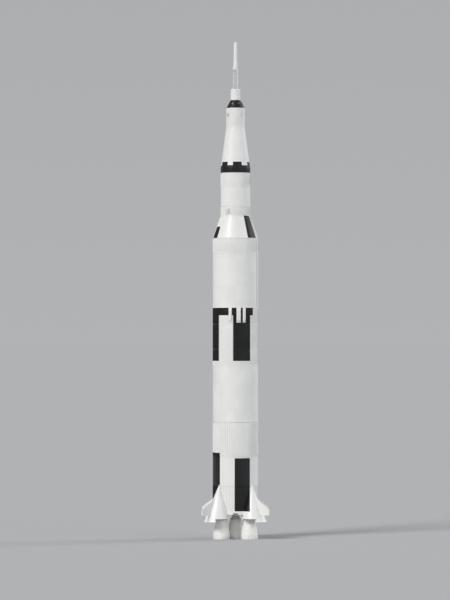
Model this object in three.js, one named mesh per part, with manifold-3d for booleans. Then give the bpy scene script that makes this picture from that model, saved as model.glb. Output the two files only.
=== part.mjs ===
// Space rocket of three stages at one tenth of its real size, standing on its five engine bells.
// Millimetres, +Z up. The origin lies on the floor under the rocket's axis, and the front faces -Y.
// Azimuths are in degrees, counted anticlockwise from +X as seen from above.

import * as THREE from 'three';
import { mergeVertices } from 'three/addons/utils/BufferGeometryUtils.js';
import Module from 'manifold-3d';

const wasm = await Module();
wasm.setup();

// Main levels and radii
const BODY_RADIUS = 506;
const UPPER_RADIUS = 330;
const SERVICE_RADIUS = 209;
const COVER_RADIUS = 109;
const TOTAL_HEIGHT = 11060;
const BODY_SIDES = 48;

// Gap between two pieces that touch
const SEAT_GAP = 0.3;

// How deep joined shapes sink in, how far a cutting shape reaches past its cut, and the welding distance
const SINK = 1;
const CUT_REACH = 20;
const WELD_DISTANCE = 1e-3;

// Foot of the first stage
const SKIRT_BOTTOM = 547;
const SKIRT_WALL = 36;
const THRUST_FACE = 600;
const THRUST_TOP = 1190;
const SHIELD_BOTTOM = 553;
const SHIELD_THICKNESS = 12;
const HOLD_DOWN = { width: 104, top: 580, padInset: 4, padWidth: 84, padDepth: 26, padHeight: 6 };

// Engines, each in its own frame with X pointing away from the rocket's axis
const ENGINE_CIRCLE = 438;
const PIVOT_HEIGHT = 575;
const ENGINE_SIDES = 24;
const CUP_RADIUS = 110;
const CUP_RIM = 579;
const CUP_FLOOR = 532;
const CUP_WALL = 9;
const CUP_LEVELS = [505, 530, 553];
const NECK_RADIUS = 60;
const SHIELD_OPENING = 116.5;
const BELL_OUTSIDE = [[188, 0], [186, 60], [169, 175], [152, 288], [131, 376], [118, 420], [88, 480]];
const BELL_INSIDE = [[44, 352], [72, 318], [102, 265], [137, 182], [166, 82], [181, 0]];
const CHAMBER = { radius: 52, bottom: 392, top: 440 };

// Cross joint that carries each outer engine
const CROSS = { half: 11, pinRadius: 6, boreRadius: 6.5, boreHalf: 60, sides: 16 };
const ROOT_EAR = { inner: 15, outer: 26, halfWidth: 12, bottom: 562 };
const ENGINE_EAR = { inner: 22, outer: 34, halfWidth: 12, top: 587 };

// Fairings over the outer engines: a cone that leans out from the body's side
const FAIRING = {
  apex: 1225,
  tip: 12,
  lean: 0.085,
  spread: 0.355,
  wall: 10,
  overlap: 2,
  sideBottom: 460,
  flapBottom: 390,
  flapHalfAngle: 41,
  trimHalf: 400,
  sides: 32,
};

// Fins: outline in the plane through the rocket's axis
const FIN = { span: 1052, tipTop: 673, bottom: 542, rootTop: 940, rootInset: 590, edge: 10, heel: 36 };

// Long raised covers outside, with columns for name, azimuth, bottom, top, body radius, width and height
const RAISED_COVERS = [
  ['first_stage_tunnel_left', 160, 1340, 4150, BODY_RADIUS, 44, 16],
  ['first_stage_tunnel_right', 20, 1340, 4150, BODY_RADIUS, 44, 16],
  ['second_stage_tunnel', 340, 5150, 6640, BODY_RADIUS, 40, 16],
  ['third_stage_tunnel', 20, 7230, 8110, UPPER_RADIUS, 34, 12],
  ['feed_line_fairing_1', 256.7, 4806, 5135, BODY_RADIUS, 66, 26],
  ['feed_line_fairing_2', 278.0, 4806, 5135, BODY_RADIUS, 88, 26],
  ['feed_line_fairing_3', 292.6, 4806, 5135, BODY_RADIUS, 58, 26],
  ['feed_line_fairing_4', 60, 4806, 5135, BODY_RADIUS, 66, 26],
  ['feed_line_fairing_5', 120, 4806, 5135, BODY_RADIUS, 66, 26],
  ['attitude_pod_front', 240, 7215, 7385, UPPER_RADIUS, 70, 34],
  ['attitude_pod_back', 60, 7215, 7385, UPPER_RADIUS, 70, 34],
];

// Run of a raised cover's sloped end, as a multiple of its height and at most a share of its length
const COVER_SLOPE = { height: 2, length: 0.25 };

// Stacked sections, with columns for name, bottom, top, bottom radius, top radius, wall (0 is solid), finish
const SECTIONS = [
  ['fuel_tank', THRUST_TOP, 1822, BODY_RADIUS, BODY_RADIUS, 0, 'white'],
  ['intertank', 1822, 2610, BODY_RADIUS, BODY_RADIUS, 0, 'white'],
  ['oxidiser_tank', 2610, 3852, BODY_RADIUS, BODY_RADIUS, 0, 'white'],
  ['first_stage_forward_skirt', 3852, 4207, BODY_RADIUS, BODY_RADIUS, 0, 'white'],
  ['first_interstage', 4207, 4764, BODY_RADIUS, BODY_RADIUS, 14, 'white'],
  ['second_stage_aft_skirt', 4764, 5135, BODY_RADIUS, BODY_RADIUS, 0, 'black'],
  ['second_stage_tank', 5135, 6356, BODY_RADIUS, BODY_RADIUS, 0, 'white'],
  ['second_stage_forward_skirt', 6356, 6688, BODY_RADIUS, BODY_RADIUS, 0, 'white'],
  ['second_interstage', 6688, 7187, BODY_RADIUS, UPPER_RADIUS, 12, 'white'],
  ['third_stage_aft_skirt', 7187, 7403, UPPER_RADIUS, UPPER_RADIUS, 0, 'white'],
  ['third_stage_tank', 7403, 7833, UPPER_RADIUS, UPPER_RADIUS, 0, 'white'],
  ['third_stage_forward_skirt', 7833, 8143, UPPER_RADIUS, UPPER_RADIUS, 0, 'white'],
  ['instrument_ring', 8143, 8234, UPPER_RADIUS, UPPER_RADIUS, 0, 'black'],
];

// Spacecraft adapter, a hollow cone in two rings with a ledge that carries the lander
const ADAPTER = { bottom: 8234, joint: 8450, top: 9167, wall: 10, ledgeRadius: 225, ledge: 12 };

// Closed-in heavy masses as plain blocks, with columns for name, bottom, top and the radius at both
const INNER_SIDES = 24;
const INNER_BLOCKS = [
  ['second_stage_engine_block', 4430, 4764, 370, 150],
  ['third_stage_engine_block', 6847, 7187, 102, 55],
  ['lander_block', ADAPTER.joint, 8890, 240, 160],
];

// Crew capsule with its hatch on the right-hand side
const CAPSULE = { bottom: 9581, floor: 9601, top: 9766, wall: 8 };
const CAPSULE_LEAN = Math.atan2(SERVICE_RADIUS - COVER_RADIUS, CAPSULE.top - CAPSULE.bottom);
const HATCH = { halfAngle: 15.4, bottom: 9643, top: 9721, gap: 2, gapAngle: 0.75, reach: 300 };
const HINGE = {
  edge: 47,
  radius: 4,
  lift: 6,
  barrel: 46,
  knuckle: 9,
  postRadius: 3.5,
  armRadius: 2.5,
  reach: 16,
  sink: 2,
  sides: 12,
};
const COVER = { top: 10012, chamfer: 6, sides: 24 };

// Escape tower and motor
const TOWER = {
  levels: [10012, 10170, 10318, 10452],
  footHalf: 52,
  headHalf: 44.5,
  legRadius: 5,
  legSides: 8,
  braceRadius: 3,
  braceSides: 6,
  slabHalf: 90,
};
const MOTOR_SIDES = 24;
const MOTOR = [
  [0, 10452],
  [50, 10452],
  [50, 10546],
  [44, 10612],
  [34.5, 11052],
  [29, TOTAL_HEIGHT],
  [0, TOTAL_HEIGHT],
];
const MOTOR_PLATE = { half: 50, thickness: 8 };

// Service plates on the right-hand side, with columns for their section, middle level and body radius
const SERVICE_PLATE = { width: 120, height: 160, stand: 6, root: 30 };
const SERVICE_PLATES = [
  ['intertank', 2216, BODY_RADIUS],
  ['second_stage_forward_skirt', 6522, BODY_RADIUS],
  ['third_stage_forward_skirt', 7988, UPPER_RADIUS],
];

// The four outer engines, fairings and fins stand midway between the view axes
const QUADRANTS = [
  ['back_right', 45],
  ['back_left', 135],
  ['front_left', 225],
  ['front_right', 315],
];

const FINISHES = {
  white: new THREE.MeshStandardMaterial({ color: 0xf1f1ee, roughness: 0.45, metalness: 0.0 }),
  black: new THREE.MeshStandardMaterial({ color: 0x1c1c1d, roughness: 0.5, metalness: 0.0 }),
  bell: new THREE.MeshStandardMaterial({ color: 0xdedcd6, roughness: 0.55, metalness: 0.3 }),
  steel: new THREE.MeshStandardMaterial({ color: 0x8d9094, roughness: 0.4, metalness: 0.9 }),
};

const rocket = new THREE.Group();

// Shapes and booleans

function weld(geometry) {
  const bare = geometry.clone();
  for (const name of Object.keys(bare.attributes)) {
    if (name !== 'position') bare.deleteAttribute(name);
  }
  const merged = mergeVertices(bare, WELD_DISTANCE);
  const index = merged.index.array;
  const kept = [];
  for (let i = 0; i < index.length; i += 3) {
    const [a, b, c] = [index[i], index[i + 1], index[i + 2]];
    if (a !== b && b !== c && c !== a) kept.push(a, b, c);
  }
  merged.setIndex(kept);
  return merged;
}

function solidOf(geometry) {
  const mesh = weld(geometry);
  const vertProperties = new Float32Array(mesh.attributes.position.array);
  const triVerts = new Uint32Array(mesh.index.array);
  const solid = new wasm.Manifold(new wasm.Mesh({ numProp: 3, vertProperties, triVerts }));
  if (solid.volume() > 0) return solid;
  const flipped = triVerts.map((_, i, all) => all[i - (i % 3) + (2 - (i % 3))]);
  return new wasm.Manifold(new wasm.Mesh({ numProp: 3, vertProperties, triVerts: flipped }));
}

function geometryOf(solid) {
  const mesh = solid.getMesh();
  const geometry = new THREE.BufferGeometry();
  geometry.setAttribute('position', new THREE.BufferAttribute(mesh.vertProperties, 3));
  geometry.setIndex(new THREE.BufferAttribute(mesh.triVerts, 1));
  return geometry;
}

function turned(profile, sides) {
  const points = profile.map(([radius, height]) => new THREE.Vector2(radius, height));
  const geometry = new THREE.LatheGeometry(points, sides);
  geometry.rotateX(Math.PI / 2);
  return solidOf(geometry);
}

function frustum(bottomRadius, topRadius, bottom, top, sides) {
  return turned([[0, bottom], [bottomRadius, bottom], [topRadius, top], [0, top]], sides);
}

function shell(bottomRadius, topRadius, bottom, top, wall, sides) {
  const profile = [
    [bottomRadius, bottom],
    [topRadius, top],
    [topRadius - wall, top],
    [bottomRadius - wall, bottom],
    [bottomRadius, bottom],
  ];
  return turned(profile, sides);
}

function block(low, high) {
  const size = high.map((value, axis) => value - low[axis]);
  const geometry = new THREE.BoxGeometry(...size);
  geometry.translate(...high.map((value, axis) => (value + low[axis]) / 2));
  return solidOf(geometry);
}

function rod(from, to, radius, sides) {
  const start = new THREE.Vector3(...from);
  const end = new THREE.Vector3(...to);
  const along = end.clone().sub(start);
  const geometry = new THREE.CylinderGeometry(radius, radius, along.length(), sides);
  const upright = new THREE.Vector3(0, 1, 0);
  const turn = new THREE.Quaternion().setFromUnitVectors(upright, along.clone().normalize());
  geometry.applyQuaternion(turn);
  geometry.translate(...start.add(end).multiplyScalar(0.5).toArray());
  return solidOf(geometry);
}

function joined(solids) {
  return solids.reduce((whole, solid) => whole.add(solid));
}

function spun(solid, azimuth) {
  return solid.rotate([0, 0, azimuth]);
}

function place(name, solid, finish, azimuth = 0, outward = 0) {
  const mesh = new THREE.Mesh(geometryOf(solid), FINISHES[finish]);
  mesh.name = name;
  mesh.position.x = outward;
  const spoke = new THREE.Group();
  spoke.rotation.z = THREE.MathUtils.degToRad(azimuth);
  spoke.add(mesh);
  rocket.add(spoke);
}

// Radius of the capsule's outside at a level
function capsuleRadius(level) {
  const share = (level - CAPSULE.bottom) / (CAPSULE.top - CAPSULE.bottom);
  return SERVICE_RADIUS + (COVER_RADIUS - SERVICE_RADIUS) * share;
}

// Radius of the adapter's outside at a level
function adapterRadius(level) {
  const share = (level - ADAPTER.bottom) / (ADAPTER.top - ADAPTER.bottom);
  return UPPER_RADIUS + (SERVICE_RADIUS - UPPER_RADIUS) * share;
}

// Middle and radius of the fairing's cone at a level
function fairingAt(level) {
  const drop = FAIRING.apex - level;
  return { middle: BODY_RADIUS + FAIRING.lean * drop, radius: FAIRING.spread * drop };
}

// A slice of the fairing's cone, drawn in by a distance
function fairingCone(bottom, top, inset) {
  const foot = fairingAt(bottom);
  const head = fairingAt(top);
  const shift = (foot.middle - head.middle) / (top - bottom);
  const cone = frustum(foot.radius - inset, head.radius - inset, 0, top - bottom, FAIRING.sides);
  // The cone leans, so each level is moved sideways in step with its height
  return cone.warp((point) => {
    point[0] += foot.middle - shift * point[2];
    point[2] += bottom;
  });
}

// Engines

function engineBody() {
  const cupArc = CUP_LEVELS.map((level) => [
    Math.sqrt(CUP_RADIUS ** 2 - (PIVOT_HEIGHT - level) ** 2),
    level,
  ]);
  const profile = [
    ...BELL_OUTSIDE,
    ...cupArc,
    [CUP_RADIUS, CUP_RIM],
    [CUP_RADIUS - CUP_WALL, CUP_RIM],
    [CUP_RADIUS - 2 * CUP_WALL, CUP_FLOOR],
    [0, CUP_FLOOR],
  ];
  const inside = [
    [0, CHAMBER.top],
    [CHAMBER.radius, CHAMBER.top],
    [CHAMBER.radius, CHAMBER.bottom],
    ...BELL_INSIDE,
  ];
  return turned([...inside, ...profile], ENGINE_SIDES);
}

function gimballedEngine() {
  const { inner, outer, halfWidth, top } = ENGINE_EAR;
  const ears = [-1, 1].map((side) => {
    const near = Math.min(side * inner, side * outer);
    const far = Math.max(side * inner, side * outer);
    return block([near, -halfWidth, CUP_FLOOR - SINK], [far, halfWidth, top]);
  });
  const { boreHalf, boreRadius, sides } = CROSS;
  const bore = rod([-boreHalf, 0, PIVOT_HEIGHT], [boreHalf, 0, PIVOT_HEIGHT], boreRadius, sides);
  return joined([engineBody(), ...ears.map((ear) => ear.subtract(bore))]);
}

function fixedEngine() {
  const neck = frustum(NECK_RADIUS, NECK_RADIUS, CUP_FLOOR - SINK, THRUST_FACE, ENGINE_SIDES);
  return engineBody().add(neck);
}

function crossJoint() {
  const { half, pinRadius, sides } = CROSS;
  const centre = block([-half, -half, PIVOT_HEIGHT - half], [half, half, PIVOT_HEIGHT + half]);
  const radialPin = rod(
    [-ENGINE_EAR.outer, 0, PIVOT_HEIGHT],
    [ENGINE_EAR.outer, 0, PIVOT_HEIGHT],
    pinRadius,
    sides,
  );
  const sidePin = rod(
    [0, -ROOT_EAR.outer, PIVOT_HEIGHT],
    [0, ROOT_EAR.outer, PIVOT_HEIGHT],
    pinRadius,
    sides,
  );
  return joined([centre, radialPin, sidePin]);
}

// The two ears under the thrust structure that hold one cross joint, at an azimuth
function rootEars(azimuth) {
  const { inner, outer, halfWidth, bottom } = ROOT_EAR;
  const { boreHalf, boreRadius, sides } = CROSS;
  const bore = rod([0, -boreHalf, PIVOT_HEIGHT], [0, boreHalf, PIVOT_HEIGHT], boreRadius, sides);
  const ears = [-1, 1].map((side) => {
    const near = Math.min(side * inner, side * outer);
    const far = Math.max(side * inner, side * outer);
    return block([-halfWidth, near, bottom], [halfWidth, far, THRUST_FACE + SINK]).subtract(bore);
  });
  return ears.map((ear) => spun(ear.translate([ENGINE_CIRCLE, 0, 0]), azimuth));
}

// Foot of the first stage

function thrustStructure() {
  const core = frustum(BODY_RADIUS, BODY_RADIUS, THRUST_FACE, THRUST_TOP, BODY_SIDES);
  const skirt = shell(BODY_RADIUS, BODY_RADIUS, SKIRT_BOTTOM, THRUST_FACE, SKIRT_WALL, BODY_SIDES);
  const lobe = fairingCone(SKIRT_BOTTOM - CUT_REACH, THRUST_FACE, FAIRING.wall - FAIRING.overlap);
  const half = HOLD_DOWN.width / 2;
  const recess = block(
    [BODY_RADIUS - SKIRT_WALL - CUT_REACH, -half, SKIRT_BOTTOM - CUT_REACH],
    [BODY_RADIUS + CUT_REACH, half, HOLD_DOWN.top],
  );
  const padInner = BODY_RADIUS - SKIRT_WALL + HOLD_DOWN.padInset;
  const pad = block(
    [padInner, -HOLD_DOWN.padWidth / 2, HOLD_DOWN.top - HOLD_DOWN.padHeight],
    [padInner + HOLD_DOWN.padDepth, HOLD_DOWN.padWidth / 2, HOLD_DOWN.top + SINK],
  );
  let foot = skirt;
  for (const [, azimuth] of QUADRANTS) {
    foot = foot.subtract(spun(lobe, azimuth)).subtract(spun(recess, azimuth + 45));
  }
  const pads = QUADRANTS.map(([, azimuth]) => spun(pad, azimuth + 45));
  const ears = QUADRANTS.flatMap(([, azimuth]) => rootEars(azimuth));
  return joined([core, foot, ...pads, ...ears]);
}

function heatShield() {
  const top = SHIELD_BOTTOM + SHIELD_THICKNESS;
  const disc = BODY_RADIUS - SKIRT_WALL - SEAT_GAP;
  const lobe = fairingAt(top);
  const lobeRadius = lobe.radius - FAIRING.wall - SEAT_GAP;
  const hole = frustum(
    SHIELD_OPENING,
    SHIELD_OPENING,
    SHIELD_BOTTOM - CUT_REACH,
    top + CUT_REACH,
    ENGINE_SIDES,
  );
  let plate = frustum(disc, disc, SHIELD_BOTTOM, top, BODY_SIDES);
  for (const [, azimuth] of QUADRANTS) {
    const lobePlate = frustum(lobeRadius, lobeRadius, SHIELD_BOTTOM, top, FAIRING.sides);
    plate = plate.add(spun(lobePlate.translate([lobe.middle, 0, 0]), azimuth));
  }
  for (const [, azimuth] of QUADRANTS) {
    plate = plate.subtract(spun(hole.translate([ENGINE_CIRCLE, 0, 0]), azimuth));
  }
  return plate.subtract(hole);
}

function engineFairing() {
  const { apex, tip, wall, sideBottom, flapBottom, flapHalfAngle, trimHalf } = FAIRING;
  const outside = fairingCone(flapBottom, apex - tip, 0);
  const inside = fairingCone(flapBottom - CUT_REACH, THRUST_FACE, wall);
  const bodyRadius = BODY_RADIUS + SEAT_GAP;
  const body = frustum(bodyRadius, bodyRadius, flapBottom - CUT_REACH, apex, BODY_SIDES);
  const foot = fairingAt(flapBottom);
  const flapStart = foot.middle + foot.radius * Math.cos(THREE.MathUtils.degToRad(flapHalfAngle));
  const trim = block([0, -trimHalf, flapBottom - CUT_REACH], [flapStart, trimHalf, sideBottom]);
  return outside.subtract(inside).subtract(body).subtract(trim);
}

function fin() {
  const outline = new THREE.Shape();
  outline.moveTo(FIN.rootInset, FIN.bottom);
  outline.lineTo(FIN.span, FIN.bottom);
  outline.lineTo(FIN.span, FIN.tipTop);
  outline.lineTo(FIN.rootInset, FIN.rootTop);
  outline.closePath();
  const halfDepth = 1;
  const plate = new THREE.ExtrudeGeometry(outline, { depth: 2 * halfDepth, bevelEnabled: false });
  plate.translate(0, 0, -halfDepth);
  plate.rotateX(Math.PI / 2);
  // The flat plate is widened into a wedge: thin along its leading edge and thickest at its heel
  const slope = (FIN.rootTop - FIN.tipTop) / (FIN.span - FIN.rootInset);
  const wedge = solidOf(plate).warp((point) => {
    const edge = FIN.tipTop + (FIN.span - point[0]) * slope;
    const share = (edge - point[2]) / (edge - FIN.bottom);
    point[1] *= (FIN.edge + (FIN.heel - FIN.edge) * share) / 2;
  });
  return wedge.subtract(fairingCone(FAIRING.flapBottom, FAIRING.apex - FAIRING.tip, -SEAT_GAP));
}

// Raised cover on a round body, with its ends sloped. The body's facets are turned back to where they stand
function raisedCover(azimuth, bottom, top, radius, width, height) {
  const slope = Math.min(height * COVER_SLOPE.height, (top - bottom) * COVER_SLOPE.length);
  const outline = new THREE.Shape();
  outline.moveTo(radius - CUT_REACH, bottom);
  outline.lineTo(radius, bottom);
  outline.lineTo(radius + height, bottom + slope);
  outline.lineTo(radius + height, top - slope);
  outline.lineTo(radius, top);
  outline.lineTo(radius - CUT_REACH, top);
  outline.closePath();
  const bar = new THREE.ExtrudeGeometry(outline, { depth: width, bevelEnabled: false });
  bar.translate(0, 0, -width / 2);
  bar.rotateX(Math.PI / 2);
  const wall = radius + SEAT_GAP;
  const body = frustum(wall, wall, bottom - CUT_REACH, top + CUT_REACH, BODY_SIDES);
  return solidOf(bar).subtract(spun(body, -azimuth));
}

function stackedSection(name, bottom, top, bottomRadius, topRadius, wall) {
  let solid = wall
    ? shell(bottomRadius, topRadius, bottom, top, wall, BODY_SIDES)
    : frustum(bottomRadius, topRadius, bottom, top, BODY_SIDES);
  for (const [section, middle, radius] of SERVICE_PLATES) {
    if (section !== name) continue;
    const { width, height, stand, root } = SERVICE_PLATE;
    const low = [radius - root, -width / 2, middle - height / 2];
    solid = solid.add(block(low, [radius + stand, width / 2, middle + height / 2]));
  }
  return solid;
}

// Spacecraft

function adapterBase() {
  const { bottom, joint, wall, ledge, ledgeRadius } = ADAPTER;
  const underLedge = joint - ledge;
  const profile = [
    [adapterRadius(bottom), bottom],
    [adapterRadius(joint), joint],
    [ledgeRadius, joint],
    [ledgeRadius, underLedge],
    [adapterRadius(underLedge) - wall, underLedge],
    [adapterRadius(bottom) - wall, bottom],
    [adapterRadius(bottom), bottom],
  ];
  return turned(profile, BODY_SIDES);
}

function adapterPanels() {
  const { joint, top, wall } = ADAPTER;
  return shell(adapterRadius(joint), adapterRadius(top), joint, top, wall, BODY_SIDES);
}

// Frame at the hatch's hinge: across the hatch, out of the wall and along the hinge line
function hingeFrame() {
  const middle = (HATCH.bottom + HATCH.top) / 2;
  const radius = capsuleRadius(middle);
  const angle = -Math.asin(HINGE.edge / radius);
  const [leanCos, leanSin] = [Math.cos(CAPSULE_LEAN), Math.sin(CAPSULE_LEAN)];
  const outward = new THREE.Vector3(leanCos * Math.cos(angle), leanCos * Math.sin(angle), leanSin);
  const along = new THREE.Vector3(-leanSin * Math.cos(angle), -leanSin * Math.sin(angle), leanCos);
  const across = new THREE.Vector3().crossVectors(along, outward);
  const origin = new THREE.Vector3(radius * Math.cos(angle), radius * Math.sin(angle), middle);
  origin.addScaledVector(outward, HINGE.lift);
  return { origin, across, outward, along };
}

function inFrame(frame, across, outward, along) {
  const point = frame.origin.clone();
  point.addScaledVector(frame.across, across);
  point.addScaledVector(frame.outward, outward);
  point.addScaledVector(frame.along, along);
  return point.toArray();
}

// Space of the hatch or its opening: between two planes through the rocket's axis, and square to the wall
function hatchSpace(halfAngle, bottom, top) {
  const half = HATCH.reach * Math.tan(THREE.MathUtils.degToRad(halfAngle));
  const outline = new THREE.Shape();
  outline.moveTo(0, 0);
  outline.lineTo(HATCH.reach, -half);
  outline.lineTo(HATCH.reach, half);
  outline.closePath();
  const wedge = new THREE.ExtrudeGeometry(outline, { depth: CAPSULE.top, bevelEnabled: false });
  const [across, up] = [CUT_REACH * Math.cos(CAPSULE_LEAN), CUT_REACH * Math.sin(CAPSULE_LEAN)];
  const band = turned(
    [
      [capsuleRadius(bottom) - across, bottom - up],
      [capsuleRadius(bottom) + across, bottom + up],
      [capsuleRadius(top) + across, top + up],
      [capsuleRadius(top) - across, top - up],
      [capsuleRadius(bottom) - across, bottom - up],
    ],
    BODY_SIDES,
  );
  return solidOf(wedge).intersect(band);
}

function capsuleShell() {
  const { floor, top, wall } = CAPSULE;
  return shell(capsuleRadius(floor), COVER_RADIUS, floor, top, wall, BODY_SIDES);
}

function capsuleWall() {
  const frame = hingeFrame();
  const { halfAngle, gapAngle, bottom, top, gap } = HATCH;
  const opening = hatchSpace(halfAngle + gapAngle, bottom - gap, top + gap);
  const start = HINGE.barrel / 2 + SEAT_GAP;
  const middle = start + HINGE.knuckle / 2;
  const knuckles = [-1, 1].flatMap((side) => [
    rod(
      inFrame(frame, 0, 0, side * start),
      inFrame(frame, 0, 0, side * (start + HINGE.knuckle)),
      HINGE.radius,
      HINGE.sides,
    ),
    rod(
      inFrame(frame, -HINGE.radius, -HINGE.lift - HINGE.sink, side * middle),
      inFrame(frame, 0, 0, side * middle),
      HINGE.postRadius,
      HINGE.sides,
    ),
  ]);
  return joined([capsuleShell().subtract(opening), ...knuckles]);
}

function capsuleHatch() {
  const frame = hingeFrame();
  const { halfAngle, bottom, top } = HATCH;
  const panel = capsuleShell().intersect(hatchSpace(halfAngle, bottom, top));
  const half = HINGE.barrel / 2;
  const barrel = rod(inFrame(frame, 0, 0, -half), inFrame(frame, 0, 0, half), HINGE.radius, HINGE.sides);
  const arms = [-1, 1].map((side) => rod(
    inFrame(frame, 0, 0, (side * half) / 2),
    inFrame(frame, HINGE.reach, -HINGE.lift - HINGE.sink, (side * half) / 2),
    HINGE.armRadius,
    HINGE.sides,
  ));
  return joined([panel, barrel, ...arms]);
}

function capsuleCover() {
  const { top, chamfer, sides } = COVER;
  const profile = [
    [0, CAPSULE.top],
    [COVER_RADIUS, CAPSULE.top],
    [COVER_RADIUS, top - chamfer],
    [COVER_RADIUS - chamfer, top],
    [0, top],
  ];
  return turned(profile, sides);
}

// Half the width of the tower's frame at a level
function towerHalf(level) {
  const { levels, footHalf, headHalf } = TOWER;
  const share = (level - levels[0]) / (levels.at(-1) - levels[0]);
  return footHalf + (headHalf - footHalf) * share;
}

function escapeTower() {
  const { levels, legRadius, legSides, braceRadius, braceSides, slabHalf } = TOWER;
  const corner = (level, number) => {
    const half = towerHalf(level);
    const turn = Math.PI / 4 + (number * Math.PI) / 2;
    return [half * Math.SQRT2 * Math.cos(turn), half * Math.SQRT2 * Math.sin(turn), level];
  };
  const members = [];
  for (let side = 0; side < 4; side += 1) {
    members.push(rod(corner(levels[0], side), corner(levels.at(-1), side), legRadius, legSides));
    for (let bay = 0; bay < levels.length - 1; bay += 1) {
      const [low, high] = [levels[bay] + legRadius, levels[bay + 1] - legRadius];
      const lean = bay % 2;
      members.push(rod(corner(high, side), corner(high, side + 1), braceRadius, braceSides));
      members.push(rod(corner(low, side + lean), corner(high, side + 1 - lean), braceRadius, braceSides));
    }
  }
  const slab = block([-slabHalf, -slabHalf, levels[0]], [slabHalf, slabHalf, levels.at(-1) - SEAT_GAP]);
  return joined(members).intersect(slab);
}

function escapeMotor() {
  const { half, thickness } = MOTOR_PLATE;
  const bottom = TOWER.levels.at(-1);
  return turned(MOTOR, MOTOR_SIDES).add(block([-half, -half, bottom], [half, half, bottom + thickness]));
}

// The rocket, from the floor up

place('centre_engine', fixedEngine(), 'bell');
for (const [corner, azimuth] of QUADRANTS) {
  place(`engine_${corner}`, gimballedEngine(), 'bell', azimuth, ENGINE_CIRCLE);
  place(`gimbal_${corner}`, crossJoint(), 'steel', azimuth, ENGINE_CIRCLE);
  place(`engine_fairing_${corner}`, engineFairing(), 'white', azimuth);
  place(`fin_${corner}`, fin(), 'white', azimuth);
}
place('base_heat_shield', heatShield(), 'white');
place('thrust_structure', thrustStructure(), 'white');
for (const [name, bottom, top, bottomRadius, topRadius, wall, finish] of SECTIONS) {
  place(name, stackedSection(name, bottom, top, bottomRadius, topRadius, wall), finish);
}
for (const [name, azimuth, bottom, top, radius, width, height] of RAISED_COVERS) {
  place(name, raisedCover(azimuth, bottom, top, radius, width, height), 'white', azimuth);
}

for (const [name, bottom, top, bottomRadius, topRadius] of INNER_BLOCKS) {
  place(name, frustum(bottomRadius, topRadius, bottom, top, INNER_SIDES), 'steel');
}
place('adapter_base', adapterBase(), 'white');
place('adapter_panels', adapterPanels(), 'white');
place(
  'service_module',
  frustum(SERVICE_RADIUS, SERVICE_RADIUS, ADAPTER.top, CAPSULE.bottom, BODY_SIDES),
  'white',
);
place(
  'capsule_base',
  frustum(SERVICE_RADIUS, capsuleRadius(CAPSULE.floor), CAPSULE.bottom, CAPSULE.floor, BODY_SIDES),
  'black',
);
place('capsule_wall', capsuleWall(), 'black');
place('capsule_hatch', capsuleHatch(), 'black');
place('capsule_cover', capsuleCover(), 'white');
place('escape_tower', escapeTower(), 'white');
place('escape_motor', escapeMotor(), 'white');

export default rocket;
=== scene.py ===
"""Looks of a three-stage space rocket at one tenth of its real size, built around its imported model.

Metres, +Z up, and the pictured side faces -Y. Azimuths of parts are in degrees, anticlockwise from +X as seen
from above. Bearings of paint are in degrees from the pictured side towards +X.
"""

import logging
import math
from collections.abc import Callable
from dataclasses import dataclass
from enum import Enum

import bmesh
import bpy
from mathutils import Matrix, Vector


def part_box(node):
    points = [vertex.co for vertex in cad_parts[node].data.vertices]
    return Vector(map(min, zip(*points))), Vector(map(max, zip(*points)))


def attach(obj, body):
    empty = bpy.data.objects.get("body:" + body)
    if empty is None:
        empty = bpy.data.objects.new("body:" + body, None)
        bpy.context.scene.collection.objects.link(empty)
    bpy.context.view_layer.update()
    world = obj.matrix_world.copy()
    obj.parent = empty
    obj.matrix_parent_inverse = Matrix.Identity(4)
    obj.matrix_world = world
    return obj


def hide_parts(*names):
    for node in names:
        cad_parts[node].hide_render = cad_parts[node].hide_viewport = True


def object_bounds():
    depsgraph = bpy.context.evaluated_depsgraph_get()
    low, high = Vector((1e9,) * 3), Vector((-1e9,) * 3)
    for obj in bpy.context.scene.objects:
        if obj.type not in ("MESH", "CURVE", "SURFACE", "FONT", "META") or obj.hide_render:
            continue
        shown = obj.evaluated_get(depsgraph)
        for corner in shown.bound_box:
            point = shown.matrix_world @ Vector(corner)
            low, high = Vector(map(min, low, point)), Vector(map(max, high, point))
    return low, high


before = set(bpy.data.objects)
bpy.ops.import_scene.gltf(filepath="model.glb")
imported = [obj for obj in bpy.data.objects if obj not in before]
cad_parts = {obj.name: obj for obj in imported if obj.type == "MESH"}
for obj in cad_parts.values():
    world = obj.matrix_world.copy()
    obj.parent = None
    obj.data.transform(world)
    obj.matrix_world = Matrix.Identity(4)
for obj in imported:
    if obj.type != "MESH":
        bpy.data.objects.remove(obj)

LOG = logging.getLogger("rocket")
CAD_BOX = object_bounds()
QUADRANTS = {"back_right": 45.0, "back_left": 135.0, "front_left": 225.0, "front_right": 315.0}
HALF_TURN = 180.0
ENGINE_CIRCLE = 0.438
SKIRT_WALL = 0.036
LARGE_STEPS = 144
MIDDLE_STEPS = 96
SMALL_STEPS = 20
BOLT_SIDES = 6
NOISE_RANGE = (0.3, 0.7)
MERGE_DISTANCE = 1e-6
CUT_DISTANCE = 1e-5
SMOOTH_ANGLE = math.radians(32)
OUTWARD = Vector((1, 0, 0))

Mesh = bmesh.types.BMesh
Socket = bpy.types.NodeSocket
Pair = tuple[float, float]
Pairs = tuple[Pair, ...]
Profile = list[Pair]
Point = tuple[float, float, float]
Colour = tuple[float, float, float, float]
RadiusAt = Callable[[float], float]
Names = tuple[str, ...]
Numbers = tuple[float, ...]


class Coat(Enum):
    """The finishes that the pieces take."""

    WHITE = "white_paint"
    BLACK = "black_paint"
    BLANKET = "bell_blanket"
    TUBES = "bell_tube_wall"
    CURTAIN = "flame_curtain"
    SHIELD = "shield_panels"
    STEEL = "machined_steel"
    ALLOY = "bare_alloy"
    GLASS = "dark_window_glass"
    IRON = "plain_dark_block"


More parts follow.
